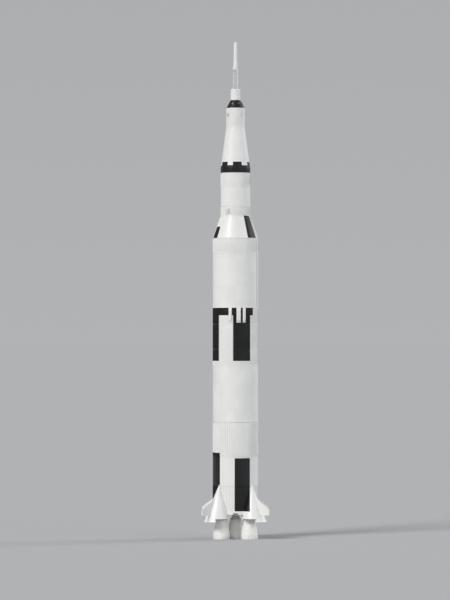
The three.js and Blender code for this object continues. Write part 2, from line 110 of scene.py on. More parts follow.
class Slot(Enum):
    """The record's material slots."""

    WHITE = "white_paint"
    BLACK = "black_paint"
    BELL = "bell_insulation"
    STEEL = "joint_steel"
    SHIELD = "shield_coating"


class Work(Enum):
    """What a Boolean does with its tools, under the modifier's own names."""

    CUT = "DIFFERENCE"
    JOIN = "UNION"


class Sum(Enum):
    """The arithmetic in the materials, under the node's own names."""

    ADD = "ADD"
    LESS = "SUBTRACT"
    TIMES = "MULTIPLY"
    FLOOR = "FLOOR"
    ANGLE = "ARCTAN2"


# Meshes


def geometry(bm: Mesh) -> list:
    """All the corners, edges and faces of a mesh."""
    return bm.verts[:] + bm.edges[:] + bm.faces[:]


def merged(bm: Mesh) -> Mesh:
    """Merges doubles and drops faces with no area.

    Args:
        bm: The mesh that is worked on.

    Returns:
        The same mesh.
    """
    bmesh.ops.remove_doubles(bm, verts=bm.verts, dist=MERGE_DISTANCE)
    bmesh.ops.dissolve_degenerate(bm, dist=MERGE_DISTANCE, edges=bm.edges)
    return bm


def closed(bm: Mesh) -> Mesh:
    """Merges a mesh's doubles and points its faces outwards."""
    bmesh.ops.recalc_face_normals(merged(bm), faces=bm.faces)
    return bm


def revolved(profile: Profile, steps: int) -> Mesh:
    """Spins a profile around Z into a closed solid.

    Args:
        profile: Corners as (radius, level). It starts and ends on the axis, or else its ends are joined.
        steps: Number of steps around.

    Returns:
        The solid, with its faces pointing out.
    """
    bm = bmesh.new()
    verts = [bm.verts.new((radius, 0.0, level)) for radius, level in profile]
    edges = [bm.edges.new(pair) for pair in zip(verts, verts[1:])]
    if profile[0][0] > 0.0:
        edges.append(bm.edges.new((verts[-1], verts[0])))
    bmesh.ops.spin(
        bm, geom=verts + edges, cent=(0, 0, 0), axis=(0, 0, 1), angle=math.tau, steps=steps, use_merge=True
    )
    return closed(bm)


def drum(rows: Profile, steps: int) -> Mesh:
    """A solid from the axis out to corners given as (radius, level), with flat ends."""
    return revolved([(0.0, rows[0][1]), *rows, (0.0, rows[-1][1])], steps)


def sector(profile: Profile, half_angle: float, steps: int) -> Mesh:
    """Spins a closed profile part of the way around Z into a solid with flat ends.

    Args:
        profile: Corners as (radius, level), off the axis.
        half_angle: Degrees that it reaches to either side of azimuth 0.
        steps: Number of steps across.

    Returns:
        The solid, with its faces pointing out.
    """
    bm = bmesh.new()
    verts = [bm.verts.new((radius, 0.0, level)) for radius, level in profile]
    edges = [bm.edges.new(pair) for pair in zip(verts, [*verts[1:], verts[0]])]
    bmesh.ops.contextual_create(bm, geom=edges)
    turned(bm, -half_angle)
    angle = math.radians(2 * half_angle)
    bmesh.ops.spin(bm, geom=geometry(bm), cent=(0, 0, 0), axis=(0, 0, 1), angle=angle, steps=steps)
    return closed(bm)


def gathered(parts: list[Mesh]) -> Mesh:
    """Puts several meshes into one.

    Args:
        parts: The meshes. They are freed.

    Returns:
        The new mesh.
    """
    whole = bmesh.new()
    for part in parts:
        scratch = bpy.data.meshes.new("scratch")
        part.to_mesh(scratch)
        part.free()
        whole.from_mesh(scratch)
        bpy.data.meshes.remove(scratch)
    return whole


def moved(bm: Mesh, shift: Point) -> Mesh:
    """Moves a mesh."""
    bmesh.ops.translate(bm, verts=bm.verts, vec=shift)
    return bm


def turned(bm: Mesh, azimuth: float, outward: float = 0.0) -> Mesh:
    """Turns a mesh around Z.

    Args:
        bm: The mesh that is worked on.
        azimuth: Degrees that it turns.
        outward: How far it moves along +X first.

    Returns:
        The same mesh.
    """
    moved(bm, (outward, 0, 0))
    turn = Matrix.Rotation(math.radians(azimuth), 3, "Z")
    bmesh.ops.rotate(bm, verts=bm.verts, cent=(0, 0, 0), matrix=turn)
    return bm


def ring_of(bm: Mesh, count: int, first: float = 0.0) -> Mesh:
    """Repeats a mesh evenly around Z.

    Args:
        bm: The mesh, at azimuth 0.
        count: How many there are in all.
        first: Azimuth of the first one.

    Returns:
        The same mesh with all copies in it.
    """
    geom = geometry(turned(bm, first))
    angle = math.tau * (count - 1) / count
    bmesh.ops.spin(
        bm, geom=geom, cent=(0, 0, 0), axis=(0, 0, 1), angle=angle, steps=count - 1, use_duplicate=True
    )
    return bm


def rounded(bm: Mesh, edges: list, size: float, segments: int = 2) -> Mesh:
    """Bevels some edges of a mesh."""
    bmesh.ops.bevel(bm, geom=edges, offset=size, segments=segments, profile=0.5, affect="EDGES", material=-1)
    return bm


def cut_along(bm: Mesh, planes: list[tuple[Point, Point]]) -> Mesh:
    """Cuts the faces of a mesh along planes and keeps both sides.

    Args:
        bm: The mesh that is worked on.
        planes: A point and a normal for each plane.

    Returns:
        The same mesh.
    """
    for point, normal in planes:
        bmesh.ops.bisect_plane(bm, geom=geometry(bm), dist=CUT_DISTANCE, plane_co=point, plane_no=normal)
    return bm


def box_between(low: Point, high: Point, bevel: float = 0.0) -> Mesh:
    """Makes a box.

    Args:
        low: Its lowest corner.
        high: Its highest corner.
        bevel: How far its edges are rounded.

    Returns:
        The box.
    """
    bm = bmesh.new()
    middle = (Vector(low) + Vector(high)) / 2
    size = Vector(high) - Vector(low)
    bmesh.ops.create_cube(bm, size=1.0, matrix=Matrix.Translation(middle) @ Matrix.Diagonal((*size, 1.0)))
    return rounded(bm, bm.edges[:], bevel) if bevel else bm


def facing(place: Vector, direction: Vector) -> Matrix:
    """The transform that takes the Z axis to a direction from a place."""
    return Matrix.Translation(place) @ direction.to_track_quat("Z", "Y").to_matrix().to_4x4()


def aimed(bm: Mesh, place: Vector, direction: Vector) -> Mesh:
    """Turns a mesh's Z axis to a direction and moves its origin to a place."""
    bmesh.ops.transform(bm, matrix=facing(place, direction.normalized()), verts=bm.verts)
    return bm


def rod_between(start: Vector, end: Vector, radius: float, sides: int, end_radius: float = -1.0) -> Mesh:
    """Makes a round rod or cone.

    Args:
        start: The middle of one end.
        end: The middle of the other end.
        radius: Its radius at the start.
        sides: Number of its sides.
        end_radius: Its radius at the end, or less than 0 for an even rod.

    Returns:
        The rod.
    """
    bm = bmesh.new()
    bmesh.ops.create_cone(
        bm,
        cap_ends=True,
        segments=sides,
        radius1=radius,
        radius2=radius if end_radius < 0 else end_radius,
        depth=(end - start).length,
        matrix=facing((start + end) / 2, end - start),
    )
    return bm


def stud(radius: float, height: float) -> Mesh:
    """A small bolt head or rivet on the +X side of the origin, pointing along +X."""
    return rod_between(-height * OUTWARD, height * OUTWARD, radius, BOLT_SIDES, radius * 0.72)


def studs_around(radius: float, level: float, count: int, first: float = 0.0, size: float = 0.0026) -> Mesh:
    """A ring of bolt heads on a round wall."""
    return ring_of(moved(stud(size, size * 0.8), (radius, 0, level)), count, first)


def object_of(name: str, bm: Mesh) -> bpy.types.Object:
    """Makes an object in the scene.

    Args:
        name: Its name.
        bm: Its mesh, in place. It is freed.

    Returns:
        The new object.
    """
    data = bpy.data.meshes.new(name)
    bm.to_mesh(data)
    bm.free()
    made = bpy.data.objects.new(name, data)
    bpy.context.scene.collection.objects.link(made)
    return made


def boolean(bm: Mesh, tools: list[Mesh], work: Work = Work.CUT) -> Mesh:
    """Cuts solids out of a solid, or joins them to it.

    Args:
        bm: The solid that is worked on. It is freed, and so are the tools.
        tools: The solids that work on it.
        work: What they do.

    Returns:
        The new solid.
    """
    base, *cutters = [object_of("scratch", mesh) for mesh in (bm, *tools)]
    for cutter in cutters:
        modifier = base.modifiers.new("work", "BOOLEAN")
        modifier.object, modifier.operation, modifier.solver = cutter, work.value, "EXACT"
    evaluated = base.evaluated_get(bpy.context.evaluated_depsgraph_get())
    result = bmesh.new()
    result.from_mesh(evaluated.to_mesh())
    evaluated.to_mesh_clear()
    for made in (base, *cutters):
        data = made.data
        bpy.data.objects.remove(made)
        bpy.data.meshes.remove(data)
    return merged(result)


def read_off(corners: Profile, level: float) -> float:
    """Reads a radius off a line through corners.

    Args:
        corners: (level, radius) from the bottom up.
        level: Where it is read.

    Returns:
        The radius there.
    """
    for (low, near), (high, far) in zip(corners, corners[1:]):
        if level <= high:
            return near + (far - near) * (level - low) / (high - low)
    return corners[-1][1]


@dataclass(frozen=True)
class Bar:
    """An upright bar on a round wall, such as a stringer, weld bead or cover."""

    width: float
    height: float
    crest: float
    sink: float = 0.004
    slope: float = 0.0
    bevel: float = 0.0
    segments: int = 1

    def mesh(self, bottom: float, top: float, radius: RadiusAt) -> Mesh:
        """Builds the bar.

        Args:
            bottom: Its lowest level.
            top: Its highest level.
            radius: Gives the wall's radius at a level.

        Returns:
            The bar at azimuth 0.
        """
        bm = bmesh.new()
        bmesh.ops.create_cube(bm, size=2.0)
        proud_edges = [edge for edge in bm.edges if all(vert.co.x > 0 for vert in edge.verts)]
        for vert in bm.verts:
            proud = vert.co.x > 0
            drawn_in = math.copysign(self.slope if proud else 0.0, vert.co.z)
            level = (top if vert.co.z > 0 else bottom) - drawn_in
            reach = radius(level) + (self.height if proud else -self.sink)
            half = (self.crest if proud else self.width) / 2
            vert.co = (reach, math.copysign(half, vert.co.y), level)
        return rounded(bm, proud_edges, self.bevel, self.segments) if self.bevel else bm


@dataclass(frozen=True)
class Hoop:
    """A raised hoop round a wall: half its width at the foot and at the crest, and its height."""

    foot: float
    crest: float
    height: float

    def rows(self, level: float, radius: RadiusAt) -> Profile:
        """Its corners as (radius, level) from the bottom up, on a wall whose radius at a level is given."""
        shifts = ((-self.foot, 0.0), (-self.crest, self.height), (self.crest, self.height), (self.foot, 0.0))
        return [(radius(level + shift) + proud, level + shift) for shift, proud in shifts]


@dataclass(frozen=True)
class Nozzle:
    """A small thruster nozzle: its length, and its radii at the throat and at the mouth."""

    length: float
    throat: float
    mouth: float

    def mesh(self, place: Vector, direction: Vector) -> Mesh:
        """Builds the nozzle.

        Args:
            place: Where its throat is.
            direction: Where it points.

        Returns:
            The nozzle as a closed solid.
        """
        wall, waist = 0.1 * self.mouth, 0.72 * self.mouth
        floor, bend, back = 0.15 * self.length, 0.6 * self.length, -0.3 * self.length
        rows = [
            (self.throat - wall / 2, floor),
            (waist - wall, bend),
            (self.mouth - wall, self.length),
            (self.mouth, self.length),
            (waist, bend),
            (self.throat + wall, floor),
            (self.throat + wall, back),
        ]
        return aimed(drum(rows, SMALL_STEPS), place, direction)


# Finishes


class NodeSheet:
    """The nodes of one material or backdrop, laid out by short calls."""

    def __init__(self, owner: bpy.types.Material | bpy.types.World, space: str = "Object") -> None:
        """Starts on a material's or a world's coordinates.

        Args:
            owner: What the nodes belong to.
            space: The coordinates that they read.
        """
        owner.use_nodes = True
        self.tree = owner.node_tree
        self.place = self.node("ShaderNodeTexCoord").outputs[space]

    def node(self, kind: str, **settings: object) -> bpy.types.Node:
        """Adds a node.

        Args:
            kind: Blender's name for it.
            settings: Its properties.

        Returns:
            The node.
        """
        made = self.tree.nodes.new(kind)
        for key, value in settings.items():
            setattr(made, key, value)
        return made

    def fed(self, node: bpy.types.Node, values: dict[int | str, object]) -> bpy.types.Node:
        """Feeds a node's inputs.

        Args:
            node: The node.
            values: What goes into each input, by its number or name: another node's socket, or a value.

        Returns:
            The same node.
        """
        for key, value in values.items():
            if isinstance(value, Socket):
                self.tree.links.new(value, node.inputs[key])
            else:
                node.inputs[key].default_value = value
        return node

    def maths(self, step: Sum, first: object, second: object = 0.0) -> Socket:
        """One arithmetic step on two numbers."""
        return self.fed(self.node("ShaderNodeMath", operation=step.value), {0: first, 1: second}).outputs[0]

    def stretched(self, scale: Point) -> Socket:
        """The coordinates with each axis scaled."""
        return self.fed(self.node("ShaderNodeMapping"), {"Vector": self.place, "Scale": scale}).outputs[0]

    def noise(self, scale: float, detail: float = 3.0, place: Socket | None = None) -> Socket:
        """Soft noise between 0 and 1."""
        values = {"Vector": place or self.place, "Scale": scale, "Detail": detail}
        return self.fed(self.node("ShaderNodeTexNoise"), values).outputs["Fac"]

    def spread(self, value: object, low: float, high: float, start: float = 0.0, end: float = 1.0) -> Socket:
        """Maps a number from low..high to start..end, clamped."""
        values = dict(enumerate((value, low, high, start, end)))
        return self.fed(self.node("ShaderNodeMapRange"), values).outputs[0]

    def blend(self, share: object, first: object, second: object) -> Socket:
        """Mixes two colours."""
        made = self.node("ShaderNodeMix", data_type="RGBA")
        return self.fed(made, {0: share, 6: first, 7: second}).outputs[2]

    def axes(self) -> list[Socket]:
        """The three coordinates, each on its own."""
        return list(self.fed(self.node("ShaderNodeSeparateXYZ"), {0: self.place}).outputs)

    def plates(self, columns: float, rows: float) -> Socket:
        """A number for each plate of the skin.

        Args:
            columns: Plates in a radian.
            rows: Plates in a metre of height.

        Returns:
            The number, between 0 and 1.
        """
        across, deep, level = self.axes()
        counts = ((self.maths(Sum.ANGLE, deep, across), columns), (level, rows))
        cells = [self.maths(Sum.FLOOR, self.maths(Sum.TIMES, *pair)) for pair in counts]
        cell = self.fed(self.node("ShaderNodeCombineXYZ"), dict(enumerate(cells))).outputs[0]
        tone = self.node("ShaderNodeTexWhiteNoise", noise_dimensions="3D")
        return self.fed(tone, {"Vector": cell}).outputs["Value"]

    def bump(self, height: object, distance: float, under: Socket | None = None) -> Socket:
        """A normal from a height in 0..1 that stands for so many metres, on top of another normal."""
        values = {"Strength": 1.0, "Distance": distance, "Height": height}
        return self.fed(self.node("ShaderNodeBump"), values | ({"Normal": under} if under else {})).outputs[0]

    def finish(
        self, colour: object, roughness: object, normal: Socket, metal: float = 0.0, specular: float = 0.5
    ) -> None:
        """Feeds the shader."""
        values = {"Base Color": colour, "Roughness": roughness, "Normal": normal, "Metallic": metal}
        self.fed(self.tree.nodes["Principled BSDF"], values | {"Specular IOR Level": specular})


@dataclass(frozen=True)
class PaintFinish:
    """Satin paint on sheet metal: plate tones, soft stains, rain streaks and a faint orange peel."""

    coat: Coat
    colour: Colour
    stain: Colour
    dust: Colour
    roughness: float
    tone: float = 0.35
    streak: float = 0.35
    specular: float = 0.5
    plate_columns: float = 2.55
    plate_rows: float = 3.2
    patch_scale: float = 1.7
    patch_range: Pair = (0.45, 0.75)
    patch_share: float = 0.45
    streak_scale: Point = (38.0, 38.0, 1.6)
    streak_range: Pair = (0.56, 0.8)
    peel: Pair = (420.0, 0.00012)
    wave: Pair = (9.0, 0.0016)
    sheen_scale: float = 24.0
    sheen: Pair = (-0.07, 0.09)

    def lay(self, sheet: NodeSheet) -> None:
        """Lays out the paint's nodes.

        Args:
            sheet: The material's sheet.
        """
        plate = sheet.spread(sheet.plates(self.plate_columns, self.plate_rows), 0.0, 1.0, 0.0, self.tone)
        patches = sheet.noise(self.patch_scale, 4.0)
        patches = sheet.spread(patches, *self.patch_range, 0.0, self.patch_share)
        colour = sheet.blend(sheet.maths(Sum.ADD, plate, patches), self.colour, self.stain)
        fine = sheet.noise(1.0, 4.0, sheet.stretched(self.streak_scale))
        colour = sheet.blend(sheet.spread(fine, *self.streak_range, 0.0, self.streak), colour, self.dust)
        normal = None
        for scale, depth in (self.wave, self.peel):
            normal = sheet.bump(sheet.noise(scale, 2.0), depth, normal)
        ends = [self.roughness + shift for shift in self.sheen]
        roughness = sheet.spread(sheet.noise(self.sheen_scale, 5.0), *NOISE_RANGE, *ends)
        sheet.finish(colour, roughness, normal, specular=self.specular)


@dataclass(frozen=True)
class BlanketFinish:
    """Pale quilted insulation with fine creases and a little soot low down."""

    coat: Coat
    colour: Colour
    soot: Colour
    soot_top: float
    crease: float
    crease_scale: float = 55.0
    weave: Pair = (700.0, 0.0001)
    cloud_scale: float = 16.0
    cloud_range: Pair = (0.35, 0.75)
    cloud_stretch: Point = (1.0, 1.0, 0.35)
    crease_stretch: Point = (1.0, 1.0, 1.8)
    sheen: Pair = (0.42, 0.66)

    def lay(self, sheet: NodeSheet) -> None:
        """Lays out the blanket's nodes.

        Args:
            sheet: The material's sheet.
        """
        low = sheet.spread(sheet.axes()[2], 0.0, self.soot_top, 1.0, 0.0)
        cloud = sheet.noise(self.cloud_scale, 5.0, sheet.stretched(self.cloud_stretch))
        cloud = sheet.spread(cloud, *self.cloud_range)
        colour = sheet.blend(sheet.maths(Sum.TIMES, low, cloud), self.colour, self.soot)
        creases = sheet.noise(self.crease_scale, 6.0, sheet.stretched(self.crease_stretch))
        scale, depth = self.weave
        normal = sheet.bump(sheet.noise(scale, 1.0), depth, sheet.bump(creases, self.crease))
        sheet.finish(colour, sheet.spread(creases, *NOISE_RANGE, *self.sheen), normal)


@dataclass(frozen=True)
class MetalFinish:
    """Bare metal or glass with brushed lines, smudges and, with a tint, heat colours up its height."""

    coat: Coat
    colour: Colour
    smudge: Colour
    roughness: float
    metal: float = 1.0
    tint: Colour | None = None
    tint_levels: Pair = (0.08, 0.32)
    tint_waver: float = 0.06
    smudge_scale: float = 14.0
    smudge_range: Pair = (0.42, 0.75)
    brush: Pair = (260.0, 0.00008)
    brush_stretch: Point = (1.0, 1.0, 0.08)
    sheen: Pair = (-0.08, 0.12)

    def lay(self, sheet: NodeSheet) -> None:
        """Lays out the metal's nodes.

        Args:
            sheet: The material's sheet.
        """
        smudges = sheet.spread(sheet.noise(self.smudge_scale, 5.0), *self.smudge_range)
        colour = sheet.blend(smudges, self.colour, self.smudge)
        if self.tint:
            uneven = sheet.maths(Sum.ADD, sheet.axes()[2], sheet.maths(Sum.TIMES, smudges, self.tint_waver))
            colour = sheet.blend(sheet.spread(uneven, *self.tint_levels), colour, self.tint)
        scale, depth = self.brush
        lines = sheet.noise(scale, 2.0, sheet.stretched(self.brush_stretch))
        ends = [self.roughness + shift for shift in self.sheen]
        roughness = sheet.spread(lines, *NOISE_RANGE, *ends)
        sheet.finish(colour, roughness, sheet.bump(lines, depth), self.metal)


@dataclass(frozen=True)
class ShieldFinish:
    """Matt pale heat shield coating on square panels, with dark seams and scorched patches."""

    coat: Coat
    colour: Colour
    seam: Colour
    scorch: Colour
    panel: float
    roughness: float = 0.82
    seam_share: float = 0.03
    seam_depth: float = 0.0015
    seam_blur: float = 0.4
    grain: Pair = (300.0, 0.0003)
    scorch_scale: float = 7.0
    scorch_range: Pair = (0.45, 0.75)
    scorch_share: float = 0.6

    def lay(self, sheet: NodeSheet) -> None:
        """Lays out the shield's nodes.

        Args:
            sheet: The material's sheet.
        """
        grid = {
            "Vector": sheet.place,
            "Scale": 1.0,
            "Brick Width": self.panel,
            "Row Height": self.panel,
            "Mortar Size": self.panel * self.seam_share,
            "Mortar Smooth": self.seam_blur,
        }
        seams = sheet.fed(sheet.node("ShaderNodeTexBrick", offset=0.0, squash=1.0), grid).outputs["Fac"]
        burnt = sheet.noise(self.scorch_scale, 6.0)
        burnt = sheet.spread(burnt, *self.scorch_range, 0.0, self.scorch_share)
        colour = sheet.blend(seams, sheet.blend(burnt, self.colour, self.scorch), self.seam)
        scale, depth = self.grain
        rough = sheet.bump(sheet.noise(scale, 3.0), depth)
        sheet.finish(
            colour, self.roughness, sheet.bump(sheet.maths(Sum.LESS, 1.0, seams), self.seam_depth, rough)
        )


FINISHES = (
    PaintFinish(
        Coat.WHITE,
        colour=(0.86, 0.86, 0.845, 1),
        stain=(0.76, 0.755, 0.735, 1),
        dust=(0.62, 0.61, 0.585, 1),
        roughness=0.36,
    ),
    PaintFinish(
        Coat.BLACK,
        colour=(0.009, 0.009, 0.0095, 1),
        stain=(0.015, 0.015, 0.016, 1),
        dust=(0.034, 0.0335, 0.033, 1),
        roughness=0.42,
        specular=0.32,
    ),
    BlanketFinish(
        Coat.BLANKET, colour=(0.88, 0.875, 0.855, 1), soot=(0.6, 0.58, 0.55, 1), soot_top=0.12, crease=0.0012
    ),
    BlanketFinish(
        Coat.CURTAIN, colour=(0.66, 0.64, 0.6, 1), soot=(0.36, 0.34, 0.32, 1), soot_top=0.3, crease=0.0014
    ),
    MetalFinish(
        Coat.TUBES,
        colour=(0.3, 0.27, 0.25, 1),
        smudge=(0.12, 0.1, 0.095, 1),
        roughness=0.42,
        tint=(0.1, 0.085, 0.09, 1),
    ),
    MetalFinish(Coat.STEEL, colour=(0.46, 0.46, 0.47, 1), smudge=(0.3, 0.3, 0.31, 1), roughness=0.36),
    MetalFinish(Coat.ALLOY, colour=(0.66, 0.66, 0.65, 1), smudge=(0.5, 0.5, 0.49, 1), roughness=0.4),
    MetalFinish(
        Coat.GLASS, colour=(0.012, 0.016, 0.022, 1), smudge=(0.02, 0.024, 0.03, 1), roughness=0.14, metal=0.0
    ),
    MetalFinish(Coat.IRON, colour=(0.2, 0.2, 0.205, 1), smudge=(0.13, 0.13, 0.135, 1), roughness=0.6),
    ShieldFinish(
        Coat.SHIELD,
        colour=(0.66, 0.64, 0.59, 1),
        seam=(0.2, 0.19, 0.17, 1),
        scorch=(0.42, 0.4, 0.36, 1),
        panel=0.082,
    ),
)


# Paint


@dataclass(frozen=True)
class Panel:
    """A black panel between two bearings and two levels. The paint repeats half a turn round."""

    first: float
    last: float
    bottom: float
    top: float

    def holds(self, bearing: float, level: float) -> bool:
        """Whether a point lies in the panel or in its twin on the other side."""
        turns = (bearing - self.first) % HALF_TURN
        return turns < self.last - self.first and self.bottom < level < self.top


BETWEEN_FAIRINGS = Panel(-2.2, 39.0, 0.625, 1.800)


@dataclass(frozen=True)
class PaintScheme:
    """The black panels on the white rocket. The one between the fairings also runs over them."""

    panels: tuple[Panel, ...] = (
        # Foot of the first stage
        BETWEEN_FAIRINGS,
        Panel(-93.0, -43.0, 0.625, 1.917),
        # Top of the first stage and the ring above it
        Panel(-6.2, 39.7, 3.956, 4.968),
        Panel(-93.0, -47.0, 3.956, 4.968),
        Panel(-93.0, 50.1, 4.968, 5.135),
        # Conical interstage
        Panel(33.0, 63.5, 6.688, 7.187),
        Panel(-80.0, -54.0, 6.688, 6.942),
        # Instrument ring and the teeth above it
        Panel(-93.0, 86.999, 8.143, 8.306),
        Panel(-69.0, -33.4, 8.306, 8.384),
        Panel(-10.4, 26.2, 8.306, 8.384),
        Panel(54.8, 88.0, 8.306, 8.384),
    )

    def apply(self, bm: Mesh) -> Mesh:
        """Cuts a mesh along the panels' edges and gives the black faces the second material.

        Args:
            bm: The mesh that is worked on.

        Returns:
            The same mesh.
        """
        low, high = (pick(vert.co.z for vert in bm.verts) for pick in (min, max))
        panels = [panel for panel in self.panels if panel.bottom < high and panel.top > low]
        levels = {level for panel in panels for level in (panel.bottom, panel.top)}
        bearings = {math.radians(bearing) for panel in panels for bearing in (panel.first, panel.last)}
        planes = [((0, 0, level), (0, 0, 1)) for level in sorted(levels)]
        planes += [((0, 0, 0), (math.cos(angle), math.sin(angle), 0)) for angle in sorted(bearings)]
        for face in cut_along(bm, planes).faces:
            centre = face.calc_center_median()
            bearing = math.degrees(math.atan2(centre.x, -centre.y))
            face.material_index = int(any(panel.holds(bearing, centre.z) for panel in panels))
        return bm


# Workshop


class Workshop:
    """Holds the finishes and the paint, and turns meshes into pieces that ride on the model."""

    def __init__(self) -> None:
        """Makes every finish once."""
        self.coats = {finish.coat: bpy.data.materials.new(finish.coat.value) for finish in FINISHES}
        for finish in FINISHES:
            finish.lay(NodeSheet(self.coats[finish.coat]))
        self.paint = PaintScheme()
        self.triangles = 0

    def piece(
        self, name: str, bm: Mesh, slot: Slot, coats: tuple[Coat, ...], body: str = "root", nodes: Names = ()
    ) -> None:
        """Makes one piece.

        Args:
            name: The piece's name.
            bm: Its mesh, in place. It is freed.
            slot: The record's material slot. It is not used.
            coats: Its finishes, in the order of its faces' material numbers.
            body: The body that it rides on.
            nodes: The CAD nodes that it stands for.
        """
        made = object_of(name, bm)
        for coat in coats:
            made.data.materials.append(self.coats[coat])
        made.data.shade_smooth()
        made.data.set_sharp_from_angle(angle=SMOOTH_ANGLE)
        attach(made, body)
        if nodes:
            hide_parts(*nodes)
        count = sum(len(face.vertices) - 2 for face in made.data.polygons)
        self.triangles += count
        LOG.info("%s on %s: %d triangles", name, body, count)

    def painted(self, name: str, bm: Mesh, *nodes: str) -> None:
        """A fixed piece in white paint with the black panels."""
        self.piece(name, self.paint.apply(bm), Slot.WHITE, (Coat.WHITE, Coat.BLACK), nodes=nodes)

    def in_white(self, name: str, bm: Mesh, *nodes: str) -> None:
        """A fixed piece in plain white paint."""
        self.piece(name, bm, Slot.WHITE, (Coat.WHITE,), nodes=nodes)

    def in_alloy(self, name: str, bm: Mesh, body: str = "root") -> None:
        """A piece of bare alloy."""
        self.piece(name, bm, Slot.STEEL, (Coat.ALLOY,), body)

    def dress(self, nodes: Names, coat: Coat) -> None:
        """Gives CAD nodes that stay shown a finish.

        Args:
            nodes: Their names.
            coat: The finish.
        """
        for node in nodes:
            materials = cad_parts[node].data.materials
            materials.clear()
            materials.append(self.coats[coat])
            LOG.info("%s keeps its shape and takes %s", node, coat.value)


# Round stack


def levels_of(node: str) -> Pair:
    """The lowest and the highest level of a CAD node."""
    low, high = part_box(node)
    return low.z, high.z


class Outline:
    """Outside of the round stack, read from the model."""

    def __init__(self) -> None:
        """Reads the corners from the floor up as (level, radius)."""
        nodes = ("second_stage_tank", "third_stage_tank", "service_module", "capsule_cover")
        wide, middle, narrow, tip = (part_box(node)[1].x for node in nodes)
        cone = levels_of("second_interstage")
        self.corners = [
            (0.0, wide),
            (cone[0], wide),
            (cone[1], middle),
            (levels_of("adapter_base")[0], middle),
            (levels_of("adapter_panels")[1], narrow),
            (levels_of("capsule_base")[0], narrow),
            (levels_of("capsule_cover")[0], tip),
            (CAD_BOX[1].z, tip),
        ]

    def radius(self, level: float) -> float:
        """The stack's radius at a level."""
        return read_off(self.corners, level)

    def shell(self, rows: Profile, wall: float) -> Mesh:
        """A round wall from rows as (distance out from the outline, level) and a thickness."""
        inside = [(self.radius(level) - wall, level) for _, level in (rows[-1], rows[0])]
        return revolved([(self.radius(level) + out, level) for out, level in rows] + inside, LARGE_STEPS)


@dataclass(frozen=True)
class Trim:
    """What stands on a skin: its name, its bar, and how far the skin lies inside the outline."""

    name: str
    bar: Bar
    inset: float = 0.0


class Skin(Enum):
    """How the outside of a round section is made."""

    TANK = Trim("upright_welds", Bar(width=0.006, height=0.0012, crest=0.003))
    RIBBED = Trim(
        "stringers",
        Bar(width=0.013, height=0.0025, crest=0.0085, sink=0.0075, slope=0.008, bevel=0.0012),
        0.0035,
    )
    CORRUGATED = Trim(
        "corrugations",
        Bar(width=0.03, height=0.003, crest=0.027, sink=0.011, slope=0.012, bevel=0.0105, segments=4),
        0.008,
    )
    PANELLED = Trim("battens", Bar(width=0.016, height=0.0018, crest=0.0145))


@dataclass(frozen=True)
class Section:
    """One section of the round stack, with how many bars stand around it and its ring welds."""

    node: str
    skin: Skin
    count: int
    welds: int = 0


